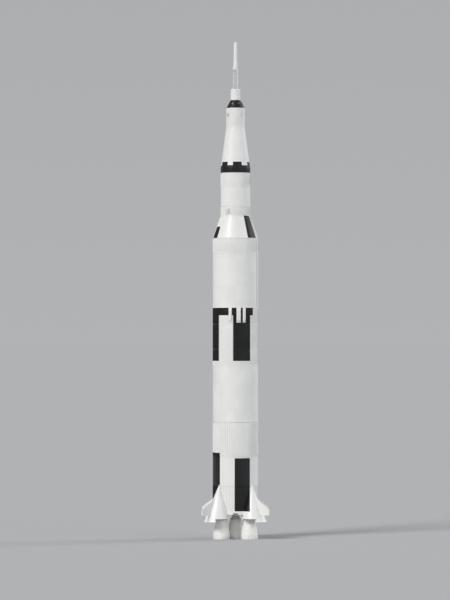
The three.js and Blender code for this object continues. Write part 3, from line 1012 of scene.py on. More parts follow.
@dataclass
class BodyStack:
    """The round sections of the three stages, the adapter and the service module."""

    shop: Workshop
    outline: Outline
    wall: float = 0.012
    bead: Hoop = Hoop(foot=0.003, crest=0.0015, height=0.0012)
    weld_turn: float = 11.0
    bar_gap: float = 0.004
    ring_half: float = 0.009
    ring_wall: float = 0.006
    # Height over the ring's edge and distance out from the outline
    ring_corners: Pairs = ((0.0, -0.002), (0.0015, 0.0033), (0.003, 0.0045))
    bolts_per_radius: float = 190.0
    sections: tuple[Section, ...] = (
        Section("fuel_tank", Skin.TANK, 8, 1),
        Section("intertank", Skin.CORRUGATED, 72),
        Section("oxidiser_tank", Skin.TANK, 8, 3),
        Section("first_stage_forward_skirt", Skin.RIBBED, 90),
        Section("first_interstage", Skin.RIBBED, 90),
        Section("second_stage_aft_skirt", Skin.RIBBED, 90),
        Section("second_stage_tank", Skin.TANK, 8, 4),
        Section("second_stage_forward_skirt", Skin.RIBBED, 90),
        Section("second_interstage", Skin.RIBBED, 72),
        Section("third_stage_aft_skirt", Skin.RIBBED, 60),
        Section("third_stage_tank", Skin.TANK, 6, 1),
        Section("third_stage_forward_skirt", Skin.RIBBED, 60),
        Section("instrument_ring", Skin.PANELLED, 12),
        Section("adapter_base", Skin.PANELLED, 4),
        Section("adapter_panels", Skin.PANELLED, 4, 2),
    )

    def build(self) -> None:
        """Builds every section, and the joint ring at the foot of each section and of what stands on them."""
        for section in self.sections:
            self.wall_of(section)
            self.details(section)
        for node in (*(section.node for section in self.sections), "service_module", "capsule_base"):
            self.joint(node)

    def wall_of(self, section: Section) -> None:
        """Builds a section's wall, with its ring welds.

        Args:
            section: The section.
        """
        (bottom, top), out = levels_of(section.node), -section.skin.value.inset
        rows = [(out, bottom)]
        for number in range(section.welds):
            level = bottom + (top - bottom) * (number + 1) / (section.welds + 1)
            rows += self.bead.rows(level, lambda _: out)
        rows.append((out, top))
        bm = self.outline.shell(rows, self.wall)
        self.shop.painted(f"{section.node}_wall", bm, section.node)

    def details(self, section: Section) -> None:
        """Builds the stringers, corrugations, upright welds or battens of a section.

        Args:
            section: The section.
        """
        trim, (bottom, top) = section.skin.value, levels_of(section.node)
        margin = self.ring_half + (self.bar_gap if trim.bar.slope else 0.0)
        if section.skin is Skin.TANK:
            bm = gathered(self.staggered_welds(section))
        else:
            bm = trim.bar.mesh(bottom + margin, top - margin, self.outline.radius)
            ring_of(bm, section.count, HALF_TURN / section.count)
        self.shop.painted(f"{section.node}_{trim.name}", bm)

    def staggered_welds(self, section: Section) -> list[Mesh]:
        """Makes upright welds between the ring welds, turned half a plate in every second course.

        Args:
            section: The section.

        Returns:
            The welds of each course.
        """
        bottom, top = levels_of(section.node)
        height = (top - bottom) / (section.welds + 1)
        welds = []
        for course in range(section.welds + 1):
            low = bottom + course * height
            bm = section.skin.value.bar.mesh(low, low + height, self.outline.radius)
            first = (course % 2) * HALF_TURN / section.count + self.weld_turn
            welds.append(ring_of(bm, section.count, first))
        return welds

    def joint(self, node: str) -> None:
        """Builds the bolted ring at a node's foot.

        Args:
            node: The CAD node.
        """
        level = levels_of(node)[0]
        rows = [(out, level - self.ring_half + up) for up, out in self.ring_corners]
        rows += [(out, 2 * level - at) for out, at in reversed(rows)]
        radius = self.outline.radius(level)
        bolts = studs_around(radius + self.ring_corners[-1][1], level, round(radius * self.bolts_per_radius))
        bm = gathered([self.outline.shell(rows, self.ring_wall), bolts])
        self.shop.painted(f"{node}_joint_ring", bm)


@dataclass(frozen=True)
class Cover:
    """A raised cover on the outside: its azimuth, width, height and the distance between its straps."""

    node: str
    azimuth: float
    width: float
    height: float
    strap_step: float


@dataclass
class RaisedCovers:
    """The tunnels and the feed line fairings."""

    shop: Workshop
    outline: Outline
    sink: float = 0.006
    # Shares of a cover's height
    shoulder: float = 0.42
    narrowing: float = 0.25
    end_slope: float = 1.9
    strap_start: float = 2.4
    round_steps: int = 4
    strap_width: float = 0.012
    strap_proud: float = 0.0014
    bolt: Pair = (0.0024, 0.0022)
    plate_rim: float = 0.004
    plate_proud: float = 0.0052
    plate_edge: float = 0.001
    plate_bevel: float = 0.0008
    covers: tuple[Cover, ...] = (
        Cover("first_stage_tunnel_left", 160.0, 0.044, 0.016, 0.2),
        Cover("first_stage_tunnel_right", 20.0, 0.044, 0.016, 0.2),
        Cover("second_stage_tunnel", 340.0, 0.040, 0.016, 0.2),
        Cover("third_stage_tunnel", 20.0, 0.034, 0.012, 0.16),
        Cover("feed_line_fairing_1", 256.7, 0.066, 0.026, 0.11),
        Cover("feed_line_fairing_2", 278.0, 0.088, 0.026, 0.11),
        Cover("feed_line_fairing_3", 292.6, 0.058, 0.026, 0.11),
        Cover("feed_line_fairing_4", 60.0, 0.066, 0.026, 0.11),
        Cover("feed_line_fairing_5", 120.0, 0.066, 0.026, 0.11),
    )

    def build(self) -> None:
        """Builds every cover with its plate and its straps."""
        for cover in self.covers:
            bars = (self.bar(cover, 0.0, cover.height * self.end_slope), self.plate(cover))
            parts = [bar.mesh(*levels_of(cover.node), self.outline.radius) for bar in bars]
            bm = turned(gathered(parts + self.straps(cover)), cover.azimuth)
            self.shop.in_white(f"{cover.node}_cover", bm, cover.node)

    def bar(self, cover: Cover, proud: float, slope: float) -> Bar:
        """Lays out a cover or its strap, a bar with rounded shoulders.

        Args:
            cover: The cover.
            proud: How far it stands out past the cover's own size.
            slope: How far its ends lean in.

        Returns:
            The bar.
        """
        width, height = cover.width + 2 * proud, cover.height
        crest, bevel = width - self.narrowing * height, self.shoulder * height
        return Bar(width, height + proud, crest, self.sink, slope, bevel, self.round_steps)

    def plate(self, cover: Cover) -> Bar:
        """The thin plate that a cover stands on, over the stringers."""
        width, edge = cover.width + 2 * self.plate_rim, self.plate_edge
        return Bar(width, self.plate_proud, width - 2 * edge, self.sink, edge, self.plate_bevel, 2)

    def straps(self, cover: Cover) -> list[Mesh]:
        """Makes the clamp straps over a cover, each with two bolts.

        Args:
            cover: The cover.

        Returns:
            The straps and the bolts at azimuth 0.
        """
        bottom, top = levels_of(cover.node)
        margin = cover.height * self.strap_start + self.strap_width
        length = top - bottom - 2 * margin
        count = max(2, round(length / cover.strap_step) + 1)
        bar, half = self.bar(cover, self.strap_proud, 0.0), self.strap_width / 2
        parts = []
        for number in range(count):
            middle = bottom + margin + length * number / (count - 1)
            parts.append(bar.mesh(middle - half, middle + half, self.outline.radius))
            reach = self.outline.radius(middle) + self.plate_proud
            parts += [moved(stud(*self.bolt), (reach, side * cover.width / 2, middle)) for side in (-1, 1)]
        return parts


@dataclass
class AttitudePods:
    """The two pods with small thrusters at the foot of the third stage."""

    shop: Workshop
    outline: Outline
    body: Bar = Bar(width=0.070, height=0.034, crest=0.0504, sink=0.006, slope=0.03, bevel=0.012, segments=4)
    band: Bar = Bar(width=0.073, height=0.0352, crest=0.0504, sink=0.006, bevel=0.012, segments=4)
    band_half: float = 0.004
    band_shift: float = 0.035
    side_jet: Nozzle = Nozzle(0.016, 0.003, 0.0085)
    side_jet_out: float = 0.019
    side_jet_in: float = 0.006
    side_jet_lean: float = 0.25
    top_jet: Nozzle = Nozzle(0.013, 0.003, 0.008)
    top_jet_in: float = 0.004
    azimuths: tuple[tuple[str, float], ...] = (("front", 240.0), ("back", 60.0))

    def build(self) -> None:
        """Builds both pods."""
        for side, azimuth in self.azimuths:
            node = f"attitude_pod_{side}"
            shell, jets = (turned(part, azimuth) for part in (self.shell(node), self.jets(node)))
            self.shop.in_white(f"{node}_shell", shell, node)
            self.shop.in_alloy(f"{node}_thrusters", jets)

    def shell(self, node: str) -> Mesh:
        """Makes a pod's body with two bands.

        Args:
            node: The pod's CAD node.

        Returns:
            The body at azimuth 0.
        """
        bottom, top = levels_of(node)
        middle, half, radius = (bottom + top) / 2, self.band_half, self.outline.radius
        parts = [self.body.mesh(bottom, top, radius)]
        for level in (middle - self.band_shift, middle + self.band_shift):
            parts.append(self.band.mesh(level - half, level + half, radius))
        return gathered(parts)

    def jets(self, node: str) -> Mesh:
        """Makes a pod's three thrusters.

        Args:
            node: The pod's CAD node.

        Returns:
            The thrusters at azimuth 0.
        """
        level = sum(levels_of(node)) / 2
        radius, across = self.outline.radius(level), self.body.width / 2 - self.side_jet_in
        parts = []
        for side in (-1, 1):
            place = Vector((radius + self.side_jet_out, side * across, level))
            parts.append(self.side_jet.mesh(place, Vector((self.side_jet_lean, side, 0))))
        top = Vector((radius + self.body.height - self.top_jet_in, 0, level))
        return gathered([*parts, self.top_jet.mesh(top, OUTWARD)])


@dataclass
class ServicePlates:
    """The plates where service arms fasten, each with bolts round its edge and covered ports."""

    shop: Workshop
    outline: Outline
    width: float = 0.120
    height: float = 0.160
    stand: float = 0.006
    sink: float = 0.02
    bevel: float = 0.0016
    bolt: Pair = (0.0028, 0.0018)
    bolt_across: float = 0.026
    bolt_up: float = 0.036
    levels: Numbers = (2.216, 6.522, 7.988)
    port_radii: Numbers = (0.013, 0.013, 0.009, 0.009)
    port_sink: float = 0.001
    port_across: float = 0.048
    port_up: float = 0.062
    port_rim: float = 0.003
    port_lid: float = 0.0022
    # Shares of a port's radius: its hole, its crest and its lid
    port_shares: Point = (0.45, 0.8, 0.5)
    port_steps: int = 24
    lid_sides: int = 16

    def build(self) -> None:
        """Builds the three plates."""
        for number, level in enumerate(self.levels, 1):
            radius = self.outline.radius(level)
            face, side, up = radius + self.stand, self.width / 2, self.height / 2
            plate = box_between((radius - self.sink, -side, level - up), (face, side, level + up), self.bevel)
            name = f"service_plate_{number}"
            self.shop.piece(name, gathered([plate, *self.bolts(face, level)]), Slot.WHITE, (Coat.ALLOY,))
            self.shop.piece(f"{name}_ports", gathered(self.ports(face, level)), Slot.STEEL, (Coat.STEEL,))

    def bolts(self, face: float, level: float) -> list[Mesh]:
        """Makes the bolts along a plate's edge.

        Args:
            face: The plate's distance from the rocket's axis.
            level: Its middle.

        Returns:
            The bolts.
        """
        grid = ((across, up) for across in range(-2, 3) for up in range(-2, 3))
        return [
            moved(stud(*self.bolt), (face, across * self.bolt_across, level + up * self.bolt_up))
            for across, up in grid
            if 2 in (abs(across), abs(up))
        ]

    def ports(self, face: float, level: float) -> list[Mesh]:
        """Makes the ring-shaped port covers on a plate.

        Args:
            face: The plate's distance from the rocket's axis.
            level: Its middle.

        Returns:
            The covers and their lids.
        """
        parts, rim = [], self.port_rim
        for number, radius in enumerate(self.port_radii):
            across, up = (number % 2 - 0.5) * self.port_across, (0.5 - number // 2) * self.port_up
            place = Vector((face - self.port_sink, across, level + up))
            hole, crest, lid = (radius * share for share in self.port_shares)
            rows = [(hole, 0.0), (radius, 0.0), (radius, self.port_lid), (crest, rim), (hole, rim)]
            parts.append(aimed(revolved(rows, self.port_steps), place, OUTWARD))
            parts.append(rod_between(place, place + self.port_lid * OUTWARD, lid, self.lid_sides))
        return parts


# Foot of the first stage


@dataclass
class EngineFairings:
    """The four leaning cones over the outer engines, with a longer flap on the outer side."""

    shop: Workshop
    outline: Outline
    apex: float = 1.225
    tip: float = 0.012
    lean: float = 0.085
    spread: float = 0.355
    wall: float = 0.010
    ceiling: float = 0.600
    side_bottom: float = 0.460
    flap_bottom: float = 0.390
    flap_half_angle: float = 41.0
    lip_inset: float = 0.002
    lip_height: float = 0.003
    hoop: Hoop = Hoop(foot=0.005, crest=0.0035, height=0.0018)
    hoops: Numbers = (0.52, 0.66, 0.82, 0.98, 1.1)
    seam: Bar = Bar(width=0.012, height=0.0012, crest=0.010, sink=0.003)
    seam_start: float = 0.004
    seam_end: float = 0.09
    seam_azimuths: Numbers = (-72.0, -48.0, -24.0, 0.0, 24.0, 48.0, 72.0)
    # The scratch solids that trim the cone
    body_gap: float = 0.0005
    body_overshoot: float = 0.02
    trim_overshoot: float = 0.03
    trim_half: float = 0.5

    def middle(self, level: float) -> float:
        """Distance from the rocket's axis to the cone's middle at a level."""
        return self.outline.radius(level) + self.lean * (self.apex - level)

    def radius(self, level: float) -> float:
        """The cone's radius at a level."""
        return self.spread * (self.apex - level)

    def leaned(self, bm: Mesh) -> Mesh:
        """Moves each level of an upright mesh out to where the leaning cone has it.

        Args:
            bm: The mesh that is worked on.

        Returns:
            The same mesh.
        """
        for vert in bm.verts:
            vert.co.x += self.middle(vert.co.z)
        return bm

    def cone(self, bottom: float, top: float, inset: float) -> Mesh:
        """A slice of the cone, drawn in by a distance."""
        rows = [(self.radius(level) - inset, level) for level in (bottom, top)]
        return self.leaned(drum(rows, MIDDLE_STEPS))

    def build(self) -> None:
        """Builds one fairing and places it four times."""
        shell, details = self.shell(), self.details()
        for corner, azimuth in QUADRANTS.items():
            bm = self.painted(turned(gathered([shell.copy(), details.copy()]), azimuth))
            node = f"engine_fairing_{corner}"
            self.shop.piece(f"{node}_shell", bm, Slot.WHITE, (Coat.WHITE, Coat.BLACK), nodes=(node,))
        shell.free()
        details.free()

    def painted(self, bm: Mesh) -> Mesh:
        """Carries the panel between the front fairings on over a fairing, with its edge straight up and down.

        Args:
            bm: The fairing, in place.

        Returns:
            The same mesh.
        """
        panel = BETWEEN_FAIRINGS
        edge = self.outline.radius(panel.bottom) * math.sin(math.radians(panel.last))
        planes = [((side * edge, 0, 0), (1, 0, 0)) for side in (-1, 1)] + [((0, 0, panel.bottom), (0, 0, 1))]
        for face in cut_along(bm, planes).faces:
            centre = face.calc_center_median()
            inward = -math.copysign(centre.x, centre.x * centre.y)
            face.material_index = int(0.0 < inward < edge and centre.z > panel.bottom)
        return bm

    def shell(self) -> Mesh:
        """Makes the cone's wall, closed above the engine, cut off at the body and trimmed at the sides.

        Returns:
            The wall at azimuth 0.
        """
        tip, rim = self.apex - self.tip, self.flap_bottom
        rows = [(self.radius(tip), tip)]
        for level in reversed(self.hoops):
            rows += reversed(self.hoop.rows(level, self.radius))
        rows += [
            (self.radius(rim + self.lip_height), rim + self.lip_height),
            (self.radius(rim) - self.lip_inset, rim),
            (self.radius(rim) - self.wall, rim),
            (self.radius(self.ceiling) - self.wall, self.ceiling),
        ]
        whole = self.leaned(drum(rows, MIDDLE_STEPS))
        reach = self.outline.radius(self.ceiling) - self.body_gap
        body = drum([(reach, rim - self.body_overshoot), (reach, self.apex)], LARGE_STEPS)
        flap = self.middle(rim) + self.radius(rim) * math.cos(math.radians(self.flap_half_angle))
        low = (0.0, -self.trim_half, rim - self.trim_overshoot)
        return boolean(whole, [body, box_between(low, (flap, self.trim_half, self.side_bottom))])

    def details(self) -> Mesh:
        """Makes the upright seams on the cone's outer side.

        Returns:
            The seams at azimuth 0.
        """
        parts = []
        for azimuth in self.seam_azimuths:
            bottom = self.flap_bottom if abs(azimuth) < self.flap_half_angle else self.side_bottom
            strip = self.seam.mesh(bottom + self.seam_start, self.apex - self.seam_end, self.radius)
            parts.append(self.leaned(turned(strip, azimuth)))
        return gathered(parts)


@dataclass
class Fins:
    """The four fins, thin at the leading edge and thickest at the heel."""

    shop: Workshop
    fairings: EngineFairings
    span: float = 1.052
    tip_top: float = 0.673
    bottom: float = 0.542
    root_top: float = 0.940
    root_inset: float = 0.590
    edge: float = 0.010
    heel: float = 0.036
    columns: int = 5
    rows: int = 3
    corner_angle: float = math.radians(50)
    corner_round: float = 0.0035
    corner_steps: int = 3
    # A face whose normal has at least this share along Y is one of the plates
    flat_share: float = 0.99
    seam_width: float = 0.0016
    plate_slope: float = 0.001
    plate_height: float = 0.0012
    cone_gap: float = 0.002

    def build(self) -> None:
        """Builds one fin and places it four times."""
        fin = self.fin()
        for corner, azimuth in QUADRANTS.items():
            node = f"fin_{corner}"
            bm = turned(fin.copy(), azimuth)
            self.shop.in_white(f"{node}_plating", bm, node)
        fin.free()

    def top(self, reach: float) -> float:
        """The level of the leading edge at a distance from the rocket's axis."""
        slope = (self.root_top - self.tip_top) / (self.span - self.root_inset)
        return self.tip_top + (self.span - reach) * slope

    def fin(self) -> Mesh:
        """Makes a fin: a grid drawn into its outline, given its thickness, and cut to fit the fairing.

        Returns:
            The fin at azimuth 0.
        """
        bm = bmesh.new()
        bmesh.ops.create_grid(bm, x_segments=self.columns, y_segments=self.rows, size=1.0)
        for vert in bm.verts:
            out, up = (vert.co.x + 1) / 2, (vert.co.y + 1) / 2
            reach = self.root_inset + (self.span - self.root_inset) * out
            vert.co = (reach, 0.0, self.bottom + (self.top(reach) - self.bottom) * up)
        raised = bmesh.ops.extrude_face_region(bm, geom=bm.faces[:])
        front = [item for item in raised["geom"] if isinstance(item, bmesh.types.BMVert)]
        for vert in bm.verts:
            top = self.top(vert.co.x)
            share = (top - vert.co.z) / (top - self.bottom)
            half = (self.edge + (self.heel - self.edge) * share) / 2
            vert.co.y = half if vert in front else -half
        whole = self.fairings
        fairing = whole.cone(whole.flap_bottom, whole.apex - whole.tip, self.cone_gap)
        return boolean(self.plated(bm), [fairing])

    def plated(self, bm: Mesh) -> Mesh:
        """Rounds a fin's corners and raises the plates of its sides between sunk seams.

        Args:
            bm: The mesh that is worked on.

        Returns:
            The same mesh.
        """
        bmesh.ops.recalc_face_normals(bm, faces=bm.faces)
        rim = [edge for edge in bm.edges if edge.calc_face_angle(0.0) > self.corner_angle]
        rounded(bm, rim, self.corner_round, self.corner_steps)
        bmesh.ops.recalc_face_normals(bm, faces=bm.faces)
        plates = [face for face in bm.faces if abs(face.normal.y) > self.flat_share]
        bmesh.ops.inset_individual(bm, faces=plates, thickness=self.seam_width, depth=0.0)
        bmesh.ops.inset_individual(bm, faces=plates, thickness=self.plate_slope, depth=self.plate_height)
        return bm


@dataclass
class ThrustStructure:
    """The foot ring that the engines push on, with its recesses, pads and the ears of the cross joints."""

    shop: Workshop
    outline: Outline
    fairings: EngineFairings
    face: float = 0.600
    recess_width: float = 0.104
    recess_depth: float = 0.06
    recess_top: float = 0.580
    recess_turn: float = 45.0
    lobe_inset: float = 0.008
    overshoot: float = 0.02
    pad: Point = (0.026, 0.084, 0.006)
    pad_gap: float = 0.004
    band_top: float = 0.622
    foot_edge: float = 0.003
    band_edge: float = 0.004
    stringers: int = 90
    stringer_gap: float = 0.004
    stringer_end: float = 0.013
    first_stringer: float = 2.0
    bolts: int = 120
    first_bolt: float = 1.5
    bolt_levels: Pair = (0.559, 0.608)
    ear_inner: float = 0.015
    ear_outer: float = 0.026
    ear_half: float = 0.012
    ear_bottom: float = 0.562
    # How deep pads and ears are set into the ring, and how far their edges are rounded
    seat: float = 0.001
    block_round: float = 0.001

    def build(self) -> None:
        """Builds the foot ring, its stringers and its pads."""
        bottom, top = levels_of("thrust_structure")
        ribbed, rim = Skin.RIBBED.value, self.outline.radius(bottom)
        inner, skin = rim - SKIRT_WALL, rim - ribbed.inset
        rows = [
            (inner, self.face),
            (inner, bottom),
            (rim - self.foot_edge, bottom),
            (rim, bottom + self.foot_edge),
            (rim, self.band_top - self.band_edge),
            (skin, self.band_top),
            (skin, top),
        ]
        wall = boolean(drum(rows, LARGE_STEPS), self.hollows(bottom, rim))
        self.shop.painted("thrust_structure_wall", wall, "thrust_structure")
        ends = (self.band_top + self.stringer_gap, top - self.stringer_end)
        bar = ribbed.bar.mesh(*ends, self.outline.radius)
        self.shop.painted("thrust_structure_stringers", ring_of(bar, self.stringers, self.first_stringer))
        bolts = [studs_around(rim, level, self.bolts, self.first_bolt) for level in self.bolt_levels]
        self.shop.painted("thrust_structure_bolts", gathered(bolts))
        parts = [turned(part, azimuth) for azimuth in QUADRANTS.values() for part in self.ears()]
        parts += [turned(self.pad_block(inner), azimuth + self.recess_turn) for azimuth in QUADRANTS.values()]
        self.shop.piece("hold_down_pads_and_ears", gathered(parts), Slot.STEEL, (Coat.STEEL,))

    def hollows(self, bottom: float, rim: float) -> list[Mesh]:
        """Makes the solids that the fairings and the hold-down recesses take out of the ring.

        Args:
            bottom: The ring's lowest level.
            rim: Its radius there.

        Returns:
            The solids, in place.
        """
        low, half, parts = bottom - self.overshoot, self.recess_width / 2, []
        for azimuth in QUADRANTS.values():
            lobe = self.fairings.cone(low, self.face, self.lobe_inset)
            start, end = (rim - self.recess_depth, -half, low), (rim + self.overshoot, half, self.recess_top)
            parts += [turned(lobe, azimuth), turned(box_between(start, end), azimuth + self.recess_turn)]
        return parts

    def pad_block(self, inner: float) -> Mesh:
        """Makes a hold-down pad in the top of its recess.

        Args:
            inner: The radius of the ring's inside.

        Returns:
            The pad at azimuth 0.
        """
        depth, width, height = self.pad
        start = inner + self.pad_gap
        low = (start, -width / 2, self.recess_top - height)
        return box_between(low, (start + depth, width / 2, self.recess_top + self.seat), self.block_round)

    def ears(self) -> list[Mesh]:
        """Makes the two ears that hold a cross joint.

        Returns:
            The ears at azimuth 0.
        """
        parts = []
        for side in (-1, 1):
            near, far = sorted((side * self.ear_inner, side * self.ear_outer))
            low = (ENGINE_CIRCLE - self.ear_half, near, self.ear_bottom)
            high = (ENGINE_CIRCLE + self.ear_half, far, self.face + self.seat)
            parts.append(box_between(low, high, self.block_round))
        return parts


@dataclass
class HeatShield:
    """The panelled shield across the foot, with round openings for the engines."""

    shop: Workshop
    outline: Outline
    fairings: EngineFairings
    opening: float = 0.1165
    overshoot: float = 0.01
    gap: float = 0.0003
    # The bolted rim: corners as (distance out of the opening, height over the shield's underside)
    rim: Pairs = ((0.0, 0.004), (0.0, -0.002), (0.002, -0.003), (0.007, -0.003), (0.009, 0.001))
    bolt_radius: float = 0.0016
    bolt_length: float = 0.0046
    bolt_out: float = 0.0045
    bolts: int = 24

    def build(self) -> None:
        """Builds the shield and the rims of its openings."""
        bottom, top = levels_of("base_heat_shield")
        disc = self.outline.radius(bottom) - SKIRT_WALL - self.gap
        lobe, out = self.fairings.radius(top) - self.fairings.wall - self.gap, self.fairings.middle(top)
        places = [(0.0, 0.0), *[(azimuth, ENGINE_CIRCLE) for azimuth in QUADRANTS.values()]]
        lobes = [turned(self.disc(lobe, bottom, top), azimuth, out) for azimuth in QUADRANTS.values()]
        plate = boolean(self.disc(disc, bottom, top), lobes, Work.JOIN)
        ends = (bottom - self.overshoot, top + self.overshoot)
        plate = boolean(plate, [turned(self.disc(self.opening, *ends), *place) for place in places])
        self.shop.piece("heat_shield_panels", plate, Slot.SHIELD, (Coat.SHIELD,), nodes=("base_heat_shield",))
        rims = gathered([turned(self.ring(bottom), *place) for place in places])
        self.shop.in_alloy("heat_shield_rims", rims)

    def disc(self, radius: float, bottom: float, top: float) -> Mesh:
        """A round plate."""
        return drum([(radius, bottom), (radius, top)], MIDDLE_STEPS)

    def ring(self, level: float) -> Mesh:
        """Makes the bolted rim round one opening.

        Args:
            level: The shield's underside.

        Returns:
            The rim round the Z axis.
        """
        profile = [(self.opening + out, level + up) for out, up in self.rim]
        ends = (Vector((0, 0, level - self.bolt_length)), Vector((0, 0, level)))
        bolt = moved(rod_between(*ends, self.bolt_radius, BOLT_SIDES), (self.opening + self.bolt_out, 0, 0))
        return gathered([revolved(profile, MIDDLE_STEPS), ring_of(bolt, self.bolts)])


# Engines


@dataclass
class Engines:
    """The five engine bells: quilted outside, tube wall inside, with a pleated curtain at the neck."""

    shop: Workshop
    steps: int = 192
    # Outside and inside of the bell
    exit_radius: float = 0.188
    narrowing: float = 0.036
    narrowing_level: float = 0.288
    outer_power: float = 1.72
    throat_radius: float = 0.0474
    throat_level: float = 0.352
    throat_steps: int = 18
    inner_exit: float = 0.181
    inner_power: float = 1.5
    rim: Pairs = ((0.181, 0.003), (0.1825, 0.0), (0.1865, 0.0), (0.188, 0.003))
    shoulder: float = 0.420
    crown: Pair = (0.088, 0.480)
    chamber: Point = (0.052, 0.392, 0.440)
    chamber_flat: float = 0.9
    chamber_edge: float = 0.006
    # How far outside the inner wall a face may still belong to it, and the same in the chamber
    inner_share: float = 0.0015
    chamber_share: float = 0.004
    # Quilts, hoops and tubes
    quilt_columns: int = 16
    quilt_puff: float = 0.0035
    quilt_steps: int = 8
    quilt_start: float = 0.0005
    quilts_from: float = 0.03
    first_row: float = 0.012
    hoops: Numbers = (0.022, 0.082, 0.142, 0.202, 0.262, 0.322, 0.382)
    hoop_half: float = 0.004
    hoop_proud: float = 0.003
    hoop_slope: float = 0.001
    tube_depth: float = 0.0009
    tubes_from: float = 0.004
    # Manifold: its radius, its level and its tube's radius
    manifold: Point = (0.113, 0.437, 0.012)
    manifold_sides: int = 16
    stay_top: Pair = (0.084, 0.492)
    stay_radius: float = 0.0045
    stay_sides: int = 10
    stays: int = 12
    # Flame curtain
    pivot: float = 0.575
    curtain_radius: float = 0.110
    curtain_bottom: float = 0.488
    curtain_top: float = 0.579
    curtain_rows: int = 10
    curtain_rim: float = 0.009
    curtain_floor: float = 0.532
    pleats: int = 36
    pleat_depth: float = 0.0022
    pleat_reach: float = 0.001
    pleat_end: float = 0.003

    def outside(self, level: float) -> float:
        """The bell's outer radius at a level."""
        return self.exit_radius - self.narrowing * (level / self.narrowing_level) ** self.outer_power

    def inside(self, level: float) -> float:
        """The bell's inner radius at a level below the throat."""
        share = level / self.throat_level
        return self.inner_exit - (self.inner_exit - self.throat_radius) * share ** self.inner_power

    def build(self) -> None:
        """Builds one engine and places it five times."""
        bell, collar, curtain = self.bell(), self.collar(), self.curtain()
        places = {"centre": ("root", "centre_engine", 0.0, 0.0)}
        for corner, azimuth in QUADRANTS.items():
            places[corner] = (f"{corner}_engine", f"engine_{corner}", azimuth, ENGINE_CIRCLE)
        coats = (Coat.BLANKET, Coat.TUBES)
        for corner, (body, node, *place) in places.items():
            bm = turned(bell.copy(), *place)
            self.shop.piece(f"bell_{corner}", bm, Slot.BELL, coats, body, (node,))
            bm = turned(collar.copy(), *place)
            self.shop.in_alloy(f"bell_collar_{corner}", bm, body)
            bm = turned(curtain.copy(), *place)
            self.shop.piece(f"flame_curtain_{corner}", bm, Slot.BELL, (Coat.CURTAIN,), body)
        for scrap in (bell, collar, curtain):
            scrap.free()

    def bell(self) -> Mesh:
        """Makes the bell from the injector down the tube wall, round the rim and up the quilted outside.

        Returns:
            The bell round the Z axis, with the tube wall in the second material.
        """
        radius, bottom, top = self.chamber
        inner = [self.throat_level * (1 - row / self.throat_steps) for row in range(self.throat_steps + 1)]
        rows = [(radius * self.chamber_flat, top), (radius, top - self.chamber_edge), (radius, bottom)]
        rows += [(self.inside(level), level) for level in inner if level > self.tubes_from]
        outer = [(self.outside(level) + out, level) for level, out in self.outer_rows()]
        rows += [*self.rim, *outer, self.crown]
        bm = drum(rows, self.steps)
        for vert in bm.verts:
            self.dress_vert(vert)
        for face in bm.faces:
            centre = face.calc_center_median()
            face.material_index = int(math.hypot(centre.x, centre.y) < self.inner_limit(centre.z))
        return bm

    def inner_limit(self, level: float) -> float:
        """The radius under which a face belongs to the tube wall.

        Args:
            level: The face's level.

        Returns:
            The radius, or 0 above the chamber.
        """
        radius, _, top = self.chamber
        if level > top + self.chamber_share / 2:
            return 0.0
        if level > self.throat_level:
            return radius + self.chamber_share
        return self.inside(level) + self.inner_share

    def outer_rows(self) -> Profile:
        """Works out the rows up the outside, so that each course of quilts can be crowned.

        Returns:
            Each row's level and how far it stands out.
        """
        rows, half, slope = [(self.first_row, 0.0), (self.shoulder, 0.0)], self.hoop_half, self.hoop_slope
        edges = [(level - half, level + half) for level in self.hoops] + [(self.shoulder, self.shoulder)]
        for (_, start), (end, _) in zip(edges, edges[1:]):
            step = (end - start) / self.quilt_steps
            rows += [(start + self.quilt_start, 0.0)]
            rows += [(start + step * number, 0.0) for number in range(1, self.quilt_steps)]
        for low, high in edges[:-1]:
            rows += [(low, 0.0), (low + slope, self.hoop_proud), (high - slope, self.hoop_proud), (high, 0.0)]
        return sorted(rows)

    def dress_vert(self, vert: bmesh.types.BMVert) -> None:
        """Puffs the quilts on the outside and presses the tubes into the inside.

        Args:
            vert: The corner that is moved.
        """
        level, radius = vert.co.z, math.hypot(vert.co.x, vert.co.y)
        if radius < MERGE_DISTANCE:
            return
        azimuth = math.atan2(vert.co.y, vert.co.x)
        shift = 0.0
        if self.quilts_from < level < self.shoulder and radius > self.inner_limit(level):
            shift = self.puff(level, azimuth)
        elif self.tubes_from < level <= self.throat_level and radius < self.inner_limit(level):
            shift = self.tube_depth * (-1) ** round(azimuth * self.steps / math.tau)
        vert.co.x *= 1 + shift / radius
        vert.co.y *= 1 + shift / radius

    def puff(self, level: float, azimuth: float) -> float:
        """Works out how far the quilts stand out.

        Args:
            level: The level on the bell.
            azimuth: The azimuth on the bell, in radians.

        Returns:
            The distance, or 0 on a hoop.
        """
        for low, high in zip(self.hoops, (*self.hoops[1:], self.shoulder + self.hoop_half)):
            start, end = low + self.hoop_half, high - self.hoop_half
            if start < level < end:
                rise = math.sin(math.pi * (level - start) / (end - start)) ** 0.5
                return self.quilt_puff * rise * abs(math.sin(self.quilt_columns * azimuth / 2)) ** 0.5
        return 0.0

    def collar(self) -> Mesh:
        """Makes the ring-shaped manifold round the neck, with short stays up to the thrust chamber's head.

        Returns:
            The manifold round the Z axis.
        """
        radius, level, tube = self.manifold
        turns = [math.tau * number / self.manifold_sides for number in range(self.manifold_sides)]
        ring = [(radius + tube * math.cos(turn), level + tube * math.sin(turn)) for turn in turns]
        ends = [Vector((out, 0, up)) for out, up in ((radius, level), self.stay_top)]
        stay = rod_between(*ends, self.stay_radius, self.stay_sides)
        stays = ring_of(stay, self.stays, HALF_TURN / self.stays)
        return gathered([revolved(ring, MIDDLE_STEPS), stays])

    def curtain_at(self, level: float) -> float:
        """The radius of the ball that the curtain is a part of, at a level."""
        return math.sqrt(max(0.0, self.curtain_radius**2 - (self.pivot - level) ** 2))

